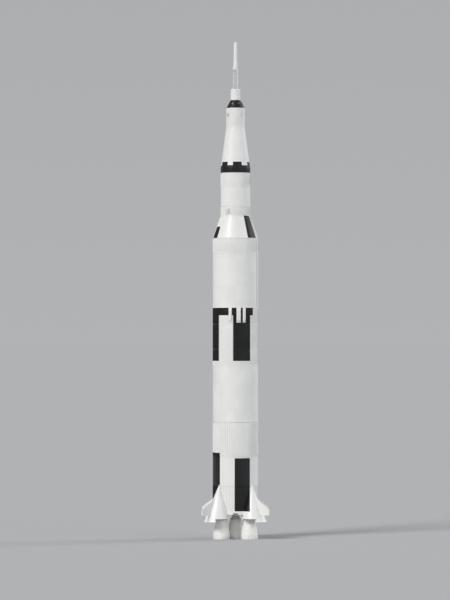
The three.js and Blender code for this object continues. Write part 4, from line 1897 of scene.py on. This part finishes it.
    def curtain(self) -> Mesh:
        """Makes the round pleated curtain that closes the gap to the heat shield.

        Returns:
            The curtain round the Z axis.
        """
        low, high, rim = self.curtain_bottom, self.curtain_top, self.curtain_rim
        levels = [low + (high - low) * row / self.curtain_rows for row in range(self.curtain_rows + 1)]
        rows = [(self.curtain_at(level), level) for level in levels]
        rows += [(self.curtain_radius - rim, high), (self.curtain_radius - 2 * rim, self.curtain_floor)]
        bm = drum(rows, LARGE_STEPS)
        for vert in bm.verts:
            radius, limit = math.hypot(vert.co.x, vert.co.y), self.curtain_at(vert.co.z)
            if radius > limit - self.pleat_reach and vert.co.z < high - self.pleat_end:
                fold = (1 - math.cos(self.pleats * math.atan2(vert.co.y, vert.co.x))) / 2
                vert.co.x *= 1 - self.pleat_depth * fold / radius
                vert.co.y *= 1 - self.pleat_depth * fold / radius
        return bm


# Spacecraft


@dataclass(frozen=True)
class Radiator:
    """A raised radiator: azimuth of its middle, width in degrees and its two levels."""

    azimuth: float
    width: float
    bottom: float
    top: float


@dataclass
class ServiceModule:
    """The round service module with its radiators and four groups of small thrusters."""

    shop: Workshop
    outline: Outline
    node: str = "service_module"
    wall: float = 0.012
    batten: Bar = Bar(width=0.010, height=0.0014, crest=0.009)
    battens: int = 6
    first_batten: float = 10.0
    sink: float = 0.003
    proud: float = 0.0022
    rib_step: float = 0.024
    rib_foot: float = 0.004
    rib_crest: float = 0.0025
    rib_proud: float = 0.0012
    rib_margin: float = 2.5
    quad_level: float = 9.430
    quad_azimuths: Numbers = (37.0, 127.0, 217.0, 307.0)
    # Plate under a group of thrusters: thickness, reach down and up, half its width in degrees
    mount: float = 0.0026
    mount_down: float = 0.055
    mount_up: float = 0.045
    mount_half: float = 11.0
    mount_steps: int = 8
    block_half: float = 0.012
    block_sink: float = 0.002
    block_proud: float = 0.016
    block_round: float = 0.004
    bolt: Pair = (0.0022, 0.0014)
    bolt_inset: float = 0.007
    bolt_acrosses: Numbers = (-0.030, 0.0, 0.030)
    jet: Nozzle = Nozzle(0.026, 0.0032, 0.0088)
    jet_out: float = 0.010
    jet_aside: float = 0.011
    jet_lean: float = 0.16
    radiators: tuple[Radiator, ...] = (
        Radiator(82.0, 62.0, 9.205, 9.345),
        Radiator(262.0, 62.0, 9.205, 9.345),
        *(Radiator(15.0 + 45.0 * number, 36.0, 9.490, 9.562) for number in range(8)),
    )

    def build(self) -> None:
        """Builds the wall, the radiators and the thrusters."""
        bottom, top = levels_of(self.node)
        wall = self.outline.shell([(0.0, bottom), (0.0, top)], self.wall)
        battens = ring_of(self.batten.mesh(bottom, top, self.outline.radius), self.battens, self.first_batten)
        name = self.node
        self.shop.in_white(f"{name}_wall", gathered([wall, battens]), name)
        self.shop.in_white(f"{name}_radiators", gathered(self.plates()))
        mounts = [turned(self.quad_mount(), azimuth) for azimuth in self.quad_azimuths]
        self.shop.in_white(f"{name}_thruster_mounts", gathered(mounts))
        nozzles = [turned(self.quad_nozzles(), azimuth) for azimuth in self.quad_azimuths]
        self.shop.in_alloy(f"{name}_thrusters", gathered(nozzles))

    def plates(self) -> list[Mesh]:
        """Makes the raised radiator plates, each with cooling ribs.

        Returns:
            The plates and the ribs, in place.
        """
        parts = []
        for item in self.radiators:
            near, height = self.outline.radius(item.bottom) - self.sink, item.top - item.bottom
            far, half = near + self.sink + self.proud, item.width / 2
            out, foot, head = far + self.rib_proud, self.rib_foot, self.rib_crest
            plate = [(near, item.bottom), (far, item.bottom), (far, item.top), (near, item.top)]
            parts.append(turned(sector(plate, half, SMALL_STEPS), item.azimuth))
            count = round(height / self.rib_step)
            for number in range(count):
                level = item.bottom + height * (number + 0.5) / count
                rib = [(near, level - foot), (out, level - head), (out, level + head), (near, level + foot)]
                parts.append(turned(sector(rib, half - self.rib_margin, SMALL_STEPS), item.azimuth))
        return parts

    def quad_mount(self) -> Mesh:
        """Makes the plate and the housing under one group of thrusters.

        Returns:
            The mount at azimuth 0.
        """
        level, radius, half = self.quad_level, self.outline.radius(self.quad_level), self.block_half
        near, far = radius - self.sink, radius + self.mount
        low, high = level - self.mount_down, level + self.mount_up
        plate = [(near, low), (far, low), (far, high), (near, high)]
        start = (radius - self.block_sink, -half, level - half)
        end = (radius + self.block_proud, half, level + half)
        bolts = [
            moved(stud(*self.bolt), (math.sqrt(far**2 - across**2), across, up))
            for across in self.bolt_acrosses
            for up in (low + self.bolt_inset, high - self.bolt_inset)
        ]
        block = box_between(start, end, self.block_round)
        return gathered([sector(plate, self.mount_half, self.mount_steps), block, *bolts])

    def quad_nozzles(self) -> Mesh:
        """Makes the four small nozzles of one group, in a cross.

        Returns:
            The nozzles at azimuth 0.
        """
        level, radius = self.quad_level, self.outline.radius(self.quad_level)
        parts = []
        for across, up in ((1, 0), (-1, 0), (0, 1), (0, -1)):
            place = Vector((radius + self.jet_out, across * self.jet_aside, level + up * self.jet_aside))
            parts.append(self.jet.mesh(place, Vector((self.jet_lean, across, up))))
        return gathered(parts)


@dataclass
class Capsule:
    """The crew capsule: base ring, conical wall with its opening, hinged hatch and the cover above."""

    shop: Workshop
    outline: Outline
    wall: float = 0.008
    base_edge: float = 0.003
    # Opening and hatch, with angles in degrees from the middle
    half_angle: float = 15.4
    gap_angle: float = 0.75
    hatch_bottom: float = 9.643
    hatch_top: float = 9.721
    gap: float = 0.002
    opening_reach: float = 0.03
    opening_steps: int = 16
    hatch_steps: int = 14
    hatch_round: float = 0.0008
    corner_angle: float = math.radians(60)
    # Strips round the opening: width, distance from it, sink, height and how far they reach past it
    strip: tuple[float, float, float, float, float] = (0.004, 0.001, 0.003, 0.0016, 3.0)
    # Border strips on the hatch: sink and height, then width and inset of the level ones
    border: Pair = (0.002, 0.0012)
    level_border: Pair = (0.0025, 0.0015)
    level_border_margin: float = 1.2
    upright_border_inset: float = 0.003
    upright_border_half: float = 0.55
    upright_border_margin: float = 1.75
    # Hinge
    edge: float = 0.047
    lift: float = 0.006
    hinge_radius: float = 0.004
    hinge_sides: int = 24
    barrel: float = 0.046
    knuckle: float = 0.009
    post_radius: float = 0.0035
    arm_radius: float = 0.0025
    arm_sides: int = 16
    seat_gap: float = 0.0003
    reach: float = 0.016
    sink: float = 0.002
    # Seams outside and frames inside
    batten: Bar = Bar(width=0.006, height=0.001, crest=0.005, sink=0.003)
    batten_gap: float = 0.002
    battens: int = 6
    clamp_half: float = 0.003
    clamp_proud: float = 0.0013
    clamp_bottom: float = 0.006
    clamp_top: float = 0.010
    frame_width: float = 0.004
    frame_crest: float = 0.005
    frame_depth: float = 0.004
    frame_seat: float = 0.001
    frame_azimuths: tuple[int, ...] = tuple(range(30, 331, 20))
    # Windows: corners as (radius, height over the wall), or (distance out of the pane's edge, height)
    window_azimuths: Numbers = (-62.0, 62.0, 244.0)
    window_level: float = 9.690
    window_radius: float = 0.012
    window_out: float = 0.0009
    pane_dome: Pair = (0.0009, 0.0007)
    pane_flat: float = 0.6
    pane_sink: float = 0.003
    pane_steps: int = 32
    rim_foot: Pairs = ((-0.0004, -0.003), (0.0032, -0.003))
    rim_head: Pairs = ((0.0032, 0.0008), (0.0024, 0.0014), (-0.0004, 0.0014))
    rim_steps: int = 40
    rim_bolt: Pair = (0.0006, 0.0019)
    rim_bolt_out: float = 0.0014
    rim_bolts: int = 12
    # The hatch's window: azimuth, level and radius
    hatch_window: Point = (1.5, 9.694, 0.011)
    # Latch handle
    handle_azimuth: float = 11.0
    handle_levels: Pair = (9.658, 9.676)
    handle_height: float = 0.0045
    handle_radii: Pair = (0.0011, 0.0013)
    handle_sides: int = 12
    # Cover above the capsule
    cover_round: float = 0.006
    cover_round_steps: int = 4
    cover_hoop: Hoop = Hoop(foot=0.005, crest=0.004, height=0.0016)
    cover_hoops: Pair = (0.012, 0.020)
    cover_batten: Bar = Bar(width=0.006, height=0.0009, crest=0.005, sink=0.003)
    cover_batten_ends: Pair = (0.02, 0.03)
    cover_battens: int = 8
    cover_bolts: int = 32
    cover_bolt_size: float = 0.0018
    cover_first_bolt: float = 5.0

    def __post_init__(self) -> None:
        """Sets up the wall's lean and the hinge's axes: across the hatch, out of it and along the hinge."""
        low, self.floor = levels_of("capsule_base")
        self.top = levels_of("capsule_cover")[0]
        self.lean = math.atan2(self.outline.radius(low) - self.outline.radius(self.top), self.top - low)
        middle = (self.hatch_bottom + self.hatch_top) / 2
        azimuth = -math.degrees(math.asin(self.edge / self.outline.radius(middle)))
        self.outward = self.out_of_wall(azimuth)
        self.along = (Vector((0, 0, 1)) - self.outward * self.outward.z).normalized()
        self.across = self.along.cross(self.outward)
        self.origin = self.on_wall(azimuth, middle, self.lift)

    def out_of_wall(self, azimuth: float) -> Vector:
        """The direction square to the wall at an azimuth."""
        angle, flat = math.radians(azimuth), math.cos(self.lean)
        return Vector((flat * math.cos(angle), flat * math.sin(angle), math.sin(self.lean)))

    def on_wall(self, azimuth: float, level: float, out: float) -> Vector:
        """A point at a distance out of the wall, from an azimuth and a level on it."""
        foot = Vector((self.outline.radius(level), 0, level))
        return Matrix.Rotation(math.radians(azimuth), 3, "Z") @ foot + self.out_of_wall(azimuth) * out

    def at_hinge(self, across: float, outward: float, along: float) -> Vector:
        """A point given in the hinge's axes."""
        return self.origin + self.across * across + self.outward * outward + self.along * along

    def band(self, bottom: float, top: float, inner: float, outer: float) -> Profile:
        """Lays out a strip along the wall, with its ends square to it.

        Args:
            bottom: The level of its lower end.
            top: The level of its upper end.
            inner: How far its inside lies out of the wall's outside.
            outer: How far its outside lies out of it.

        Returns:
            Its corners.
        """
        flat, up = math.cos(self.lean), math.sin(self.lean)
        corners = ((bottom, inner), (bottom, outer), (top, outer), (top, inner))
        return [(self.outline.radius(level) + out * flat, level + out * up) for level, out in corners]

    def build(self) -> None:
        """Builds all the pieces of the capsule."""
        self.base()
        self.cabin()
        self.windows()
        self.hatch()
        self.cover()

    def base(self) -> None:
        """Builds the black ring under the capsule."""
        low, high = levels_of("capsule_base")
        radius, upper = self.outline.radius(low), self.outline.radius(high)
        bm = drum([(radius, low), (radius, low + self.base_edge), (upper, high)], LARGE_STEPS)
        self.shop.piece("capsule_base_ring", bm, Slot.BLACK, (Coat.BLACK,), nodes=("capsule_base",))

    def cabin(self) -> None:
        """Builds the conical wall with its opening, the frames inside and the fixed half of the hinge."""
        ends = [(self.outline.radius(level), level) for level in (self.floor, self.top)]
        inner = [(radius - self.wall, level) for radius, level in reversed(ends)]
        reach = self.opening_reach
        space = self.band(self.hatch_bottom - self.gap, self.hatch_top + self.gap, -reach, reach)
        opening = sector(space, self.half_angle + self.gap_angle, self.opening_steps)
        shell = boolean(revolved(ends + inner, LARGE_STEPS), [opening])
        bm = gathered([shell, *self.seams(), *self.frames_inside(), *self.knuckles(), *self.opening_strips()])
        self.shop.piece("capsule_wall_shell", bm, Slot.BLACK, (Coat.BLACK,), nodes=("capsule_wall",))

    def seams(self) -> list[Mesh]:
        """Makes the battens up the outside and a clamp ring at either end.

        Returns:
            The battens and the rings.
        """
        gap, half = self.batten_gap, self.clamp_half
        batten = self.batten.mesh(self.floor + gap, self.top - gap, self.outline.radius)
        rings = [
            revolved(self.band(level - half, level + half, -half, self.clamp_proud), LARGE_STEPS)
            for level in (self.floor + self.clamp_bottom, self.top - self.clamp_top)
        ]
        return [ring_of(batten, self.battens, HALF_TURN / self.battens), *rings]

    def frames_inside(self) -> list[Mesh]:
        """Makes the upright frames on the inside of the wall, away from the opening.

        Returns:
            The frames.
        """
        seat, depth = self.frame_seat - self.wall, self.wall + self.frame_depth
        bar = Bar(self.frame_width, seat, self.frame_crest, depth)
        ends = (self.floor, self.top - self.frame_depth)
        return [turned(bar.mesh(*ends, self.outline.radius), azimuth) for azimuth in self.frame_azimuths]

    def opening_strips(self) -> list[Mesh]:
        """Makes the raised strips above and below the opening.

        Returns:
            The strips.
        """
        width, off, sink, proud, margin = self.strip
        off += self.gap
        lows = (self.hatch_bottom - off - width, self.hatch_top + off)
        half = self.half_angle + margin
        return [sector(self.band(low, low + width, -sink, proud), half, self.opening_steps) for low in lows]

    def knuckles(self) -> list[Mesh]:
        """Makes the two fixed knuckles of the hinge on their posts.

        Returns:
            The knuckles and the posts.
        """
        start = self.barrel / 2 + self.seat_gap
        parts = []
        for side in (-1, 1):
            ends = [self.at_hinge(0, 0, side * (start + at)) for at in (0.0, self.knuckle)]
            parts.append(rod_between(*ends, self.hinge_radius, self.hinge_sides))
            middle = side * (start + self.knuckle / 2)
            foot = self.at_hinge(-self.hinge_radius, -self.lift - self.sink, middle)
            parts.append(rod_between(foot, self.at_hinge(0, 0, middle), self.post_radius, SMALL_STEPS))
        return parts

    def set_in_wall(self, bm: Mesh, azimuth: float, level: float) -> Mesh:
        """Sets a mesh made round the Z axis on the wall."""
        return aimed(bm, self.on_wall(azimuth, level, self.window_out), self.out_of_wall(azimuth))

    def pane(self, azimuth: float, level: float, radius: float) -> Mesh:
        """Makes a round pane just proud of the wall, slightly domed.

        Args:
            azimuth: Its azimuth.
            level: Its middle.
            radius: Its radius.

        Returns:
            The pane.
        """
        crown, shoulder = self.pane_dome
        profile = [(0.0, crown), (radius * self.pane_flat, shoulder), (radius, 0.0)]
        profile += [(radius, -self.pane_sink), (0.0, -self.pane_sink)]
        return self.set_in_wall(revolved(profile, self.pane_steps), azimuth, level)

    def rim(self, azimuth: float, level: float, radius: float) -> Mesh:
        """Makes the bolted rim round a pane.

        Args:
            azimuth: The pane's azimuth.
            level: Its middle.
            radius: Its radius.

        Returns:
            The rim.
        """
        profile = [(radius + out, up) for out, up in self.rim_foot + self.rim_head]
        size, height = self.rim_bolt
        ends = [Vector((radius + self.rim_bolt_out, 0, up)) for up in (0, height)]
        bolts = ring_of(rod_between(*ends, size, BOLT_SIDES), self.rim_bolts)
        return self.set_in_wall(gathered([revolved(profile, self.rim_steps), bolts]), azimuth, level)

    def windows(self) -> None:
        """Builds the round windows in the wall."""
        places = [(azimuth, self.window_level, self.window_radius) for azimuth in self.window_azimuths]
        panes = gathered([self.pane(*place) for place in places])
        self.shop.piece("capsule_window_panes", panes, Slot.BLACK, (Coat.GLASS,))
        rims = gathered([self.rim(*place) for place in places])
        self.shop.in_alloy("capsule_window_rims", rims)

    def hatch(self) -> None:
        """Builds the hatch with its border, window, handle and hinge arms."""
        panel = sector(
            self.band(self.hatch_bottom, self.hatch_top, -self.wall, 0.0), self.half_angle, self.hatch_steps
        )
        sharp = [edge for edge in panel.edges if edge.calc_face_angle(0.0) > self.corner_angle]
        parts = [rounded(panel, sharp, self.hatch_round), *self.hinge_arms(), *self.borders()]
        name = "capsule_hatch"
        self.shop.piece(f"{name}_panel", gathered(parts), Slot.BLACK, (Coat.BLACK,), "hatch", (name,))
        self.shop.piece(f"{name}_pane", self.pane(*self.hatch_window), Slot.BLACK, (Coat.GLASS,), "hatch")
        fittings = [self.rim(*self.hatch_window), *self.handle()]
        self.shop.in_alloy(f"{name}_fittings", gathered(fittings), "hatch")

    def hinge_arms(self) -> list[Mesh]:
        """Makes the hatch's half of the hinge: the barrel and its two arms.

        Returns:
            The barrel and the arms.
        """
        half = self.barrel / 2
        ends = [self.at_hinge(0, 0, along) for along in (-half, half)]
        parts = [rod_between(*ends, self.hinge_radius, self.hinge_sides)]
        for along in (-half / 2, half / 2):
            foot = self.at_hinge(self.reach, -self.lift - self.sink, along)
            parts.append(rod_between(self.at_hinge(0, 0, along), foot, self.arm_radius, self.arm_sides))
        return parts

    def borders(self) -> list[Mesh]:
        """Makes the raised strips along the hatch's edges.

        Returns:
            The two level strips and the two upright ones.
        """
        (sink, proud), (width, inset), half = self.border, self.level_border, self.half_angle
        parts = []
        for low in (self.hatch_bottom + inset, self.hatch_top - inset - width):
            strip = self.band(low, low + width, -sink, proud)
            parts.append(sector(strip, half - self.level_border_margin, self.hatch_steps))
        low, high = self.hatch_bottom + self.upright_border_inset, self.hatch_top - self.upright_border_inset
        for side in (-1, 1):
            strip = sector(self.band(low, high, -sink, proud), self.upright_border_half, 2)
            parts.append(turned(strip, side * (half - self.upright_border_margin)))
        return parts

    def handle(self) -> list[Mesh]:
        """Makes the latch handle on two feet.

        Returns:
            The feet and the grip.
        """
        thin, thick = self.handle_radii
        feet, heads = (
            [self.on_wall(self.handle_azimuth, level, out) for level in self.handle_levels]
            for out in (0.0, self.handle_height)
        )
        rods = [rod_between(foot, head, thin, self.handle_sides) for foot, head in zip(feet, heads)]
        return [*rods, rod_between(*heads, thick, self.handle_sides)]

    def cover(self) -> None:
        """Builds the white cover above the capsule."""
        (bottom, top), corner = levels_of("capsule_cover"), self.cover_round
        radius, (lower, upper) = self.outline.radius(top), self.cover_hoops
        rows = [(radius, bottom)]
        hoops = (bottom + lower, top - upper)
        for level in hoops:
            rows += self.cover_hoop.rows(level, self.outline.radius)
        for number in range(self.cover_round_steps + 1):
            angle = math.pi / 2 * number / self.cover_round_steps
            rows.append((radius - corner + corner * math.cos(angle), top - corner + corner * math.sin(angle)))
        lower, upper = self.cover_batten_ends
        batten = self.cover_batten.mesh(bottom + lower, top - upper, self.outline.radius)
        parts = [
            drum(rows, MIDDLE_STEPS),
            ring_of(batten, self.cover_battens, HALF_TURN / self.cover_battens),
        ]
        for level in hoops:
            reach = radius + self.cover_hoop.height
            studs = studs_around(reach, level, self.cover_bolts, self.cover_first_bolt, self.cover_bolt_size)
            parts.append(studs)
        self.shop.in_white("capsule_cover_shell", gathered(parts), "capsule_cover")


@dataclass
class Escape:
    """The lattice tower and the slim rocket motor on top."""

    shop: Workshop
    # Tower
    levels: Numbers = (10.012, 10.170, 10.318, 10.452)
    foot_half: float = 0.052
    head_half: float = 0.0445
    leg_radius: float = 0.005
    foot: Pair = (0.0095, 0.006)
    brace_radius: float = 0.003
    brace_sides: int = 14
    sleeve_radius: float = 0.0062
    sleeve_down: float = 0.008
    sleeve_up: float = 0.004
    seat_gap: float = 0.0003
    # Motor, with its casing as (level, radius)
    casing: Pairs = ((10.452, 0.050), (10.546, 0.050), (10.612, 0.044), (11.052, 0.0345), (11.060, 0.029))
    nose_edge: Pair = (0.0335, 11.056)
    hoop: Hoop = Hoop(foot=0.0045, crest=0.0035, height=0.0013)
    hoops: Numbers = (10.540, 10.612, 10.760, 10.905, 11.040)
    bolted_hoops: int = 2
    bolts: int = 20
    first_bolt: float = 4.0
    bolt_size: float = 0.0015
    plate_half: float = 0.050
    plate_height: float = 0.008
    plate_round: float = 0.0014
    jet: Nozzle = Nozzle(0.036, 0.0042, 0.0085)
    jet_place: Point = (0.0415, 0, 10.508)
    jet_aim: Point = (0.36, 0, -1)

    def corner(self, level: float, number: int) -> Vector:
        """Finds a corner of the tower's frame.

        Args:
            level: Its level.
            number: Which corner it is.

        Returns:
            The corner.
        """
        share = (level - self.levels[0]) / (self.levels[-1] - self.levels[0])
        half = self.foot_half + (self.head_half - self.foot_half) * share
        angle, reach = math.radians(45.0 + 90.0 * number), half * math.sqrt(2)
        return Vector((reach * math.cos(angle), reach * math.sin(angle), level))

    def casing_radius(self, level: float) -> float:
        """The motor's radius at a level."""
        return read_off(self.casing, level)

    def build(self) -> None:
        """Builds the tower and the motor."""
        self.tower()
        self.motor()

    def tower(self) -> None:
        """Builds the four legs with their feet and sleeves, and the braces between them."""
        parts = []
        for side in range(4):
            parts += self.side_of(side)
        self.shop.in_white("escape_tower_frame", gathered(parts), "escape_tower")

    def side_of(self, side: int) -> list[Mesh]:
        """Makes the braces of one side of the tower, and the leg at its first corner.

        Args:
            side: Which side it is.

        Returns:
            The rods.
        """
        bottom, top, (foot_radius, foot_height) = self.levels[0], self.levels[-1] - self.seat_gap, self.foot
        rods, parts = [(bottom, top, self.leg_radius), (bottom, bottom + foot_height, foot_radius)], []
        for bay, (start, end) in enumerate(zip(self.levels, self.levels[1:])):
            low, high, lean = start + self.leg_radius, end - self.leg_radius, bay % 2
            rods.append((high - self.sleeve_down, min(high + self.sleeve_up, top), self.sleeve_radius))
            level_brace = (self.corner(high, side), self.corner(high, side + 1))
            slanted_brace = (self.corner(low, side + lean), self.corner(high, side + 1 - lean))
            for ends in (level_brace, slanted_brace):
                parts.append(rod_between(*ends, self.brace_radius, self.brace_sides))
        for low, high, radius in rods:
            parts.append(rod_between(self.corner(low, side), self.corner(high, side), radius, SMALL_STEPS))
        return parts

    def motor(self) -> None:
        """Builds the motor's casing on its square plate, with hoops and four slanting nozzles."""
        low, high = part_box("escape_motor")
        half, (neck, nose) = self.plate_half, self.casing[-2:]
        rows = [(self.casing_radius(low.z), low.z)]
        for level in self.hoops:
            rows += self.hoop.rows(level, self.casing_radius)
        rows += [neck[::-1], self.nose_edge, (nose[1], high.z)]
        plate = box_between((-half, -half, low.z), (half, half, low.z + self.plate_height), self.plate_round)
        parts = [drum(rows, MIDDLE_STEPS), plate]
        for level in self.hoops[: self.bolted_hoops]:
            reach = self.casing_radius(level) + self.hoop.height
            parts.append(studs_around(reach, level, self.bolts, self.first_bolt, self.bolt_size))
        self.shop.in_white("escape_motor_casing", gathered(parts), "escape_motor")
        jets = ring_of(self.jet.mesh(Vector(self.jet_place), Vector(self.jet_aim)), 4)
        self.shop.in_alloy("escape_motor_nozzles", jets)


# Surroundings


@dataclass(frozen=True)
class Viewpoint:
    """The camera at the picture's viewing angle, far away and tilted up a little, in degrees."""

    distance: float = 80.0
    eye: float = 4.5
    aside: float = -0.233
    tilt: float = 0.581
    lens: float = 215.3
    sensor: float = 36.0
    far_limit: float = 3000.0

    def build(self) -> None:
        """Makes the camera and sets it as the scene's."""
        data = bpy.data.cameras.new("camera")
        data.lens, data.sensor_width = self.lens, self.sensor
        data.clip_end = self.far_limit
        camera = bpy.data.objects.new("camera", data)
        camera.location = (self.aside, -self.distance, self.eye)
        camera.rotation_euler = (math.radians(90 + self.tilt), 0, 0)
        bpy.context.scene.collection.objects.link(camera)
        bpy.context.scene.camera = camera


@dataclass(frozen=True)
class Lamp:
    """One soft, even light from far away, with its spread in degrees."""

    name: str
    azimuth: float
    elevation: float
    spread: float
    strength: float
    colour: Point = (1.0, 1.0, 1.0)


@dataclass(frozen=True)
class Studio:
    """Plain pale floor, plain soft light and a plain backdrop colour."""

    floor_radius: float = 2000.0
    floor_tone: Colour = (0.484, 0.489, 0.495, 1)
    floor_grain: Pair = (90.0, 0.0002)
    floor_roughness: Pair = (0.92, 1.0)
    horizon: Colour = (0.885, 0.897, 0.915, 1)
    sky: Colour = (0.7, 0.72, 0.76, 1)
    sky_height: float = 0.35
    sky_strength: float = 0.5
    lamps: tuple[Lamp, ...] = (
        Lamp("key_lamp", 226.0, 36.0, 22.0, 2.0, (1.0, 0.985, 0.96)),
        Lamp("fill_lamp", 318.0, 12.0, 60.0, 0.65, (0.95, 0.975, 1.0)),
        Lamp("edge_lamp", 24.0, 24.0, 26.0, 1.0),
    )

    def build(self) -> None:
        """Makes the floor, the lamps and the backdrop."""
        self.floor()
        for lamp in self.lamps:
            self.hang(lamp)
        self.backdrop()
        bpy.context.scene.view_settings.view_transform = "Standard"

    def floor(self) -> None:
        """Makes the floor, a wide disc. It has no gloss, so that its tone is the same towards every side."""
        material = bpy.data.materials.new("studio_floor")
        sheet, (scale, depth) = NodeSheet(material), self.floor_grain
        grain = sheet.noise(scale, 2.0)
        roughness = sheet.spread(grain, *NOISE_RANGE, *self.floor_roughness)
        sheet.finish(self.floor_tone, roughness, sheet.bump(grain, depth), specular=0.0)
        bm = bmesh.new()
        bmesh.ops.create_circle(bm, cap_ends=True, segments=MIDDLE_STEPS, radius=self.floor_radius)
        made = object_of("studio_floor", bm)
        made.data.materials.append(material)

    def hang(self, lamp: Lamp) -> None:
        """Hangs one lamp, turned to shine from its azimuth and elevation.

        Args:
            lamp: The lamp.
        """
        data = bpy.data.lights.new(lamp.name, "SUN")
        data.energy, data.angle, data.color = lamp.strength, math.radians(lamp.spread), lamp.colour
        made = bpy.data.objects.new(lamp.name, data)
        azimuth, elevation = math.radians(lamp.azimuth), math.radians(lamp.elevation)
        flat = math.cos(elevation)
        source = Vector((flat * math.cos(azimuth), flat * math.sin(azimuth), math.sin(elevation)))
        made.rotation_euler = source.to_track_quat("Z", "Y").to_euler()
        bpy.context.scene.collection.objects.link(made)

    def backdrop(self) -> None:
        """Makes the even backdrop, which meets the floor's tone at the horizon."""
        world = bpy.data.worlds.new("studio_backdrop")
        bpy.context.scene.world = world
        sheet = NodeSheet(world, "Generated")
        rise = sheet.spread(sheet.axes()[2], 0.0, self.sky_height)
        colour = sheet.blend(rise, self.horizon, self.sky)
        sheet.fed(sheet.tree.nodes["Background"], {"Color": colour, "Strength": self.sky_strength})


def main() -> None:
    """Builds the rocket, the floor, the lights and the camera."""
    logging.basicConfig(level=logging.INFO, format="%(message)s")
    Viewpoint().build()
    Studio().build()
    shop = Workshop()
    outline = Outline()
    BodyStack(shop, outline).build()
    RaisedCovers(shop, outline).build()
    AttitudePods(shop, outline).build()
    ServicePlates(shop, outline).build()
    fairings = EngineFairings(shop, outline)
    fairings.build()
    Fins(shop, fairings).build()
    ThrustStructure(shop, outline, fairings).build()
    HeatShield(shop, outline, fairings).build()
    Engines(shop).build()
    ServiceModule(shop, outline).build()
    Capsule(shop, outline).build()
    Escape(shop).build()
    shop.dress(tuple(f"gimbal_{corner}" for corner in QUADRANTS), Coat.STEEL)
    shop.dress(("second_stage_engine_block", "third_stage_engine_block", "lander_block"), Coat.IRON)
    LOG.info("%d triangles in new pieces", shop.triangles)


if __name__ == "__main__":
    main()
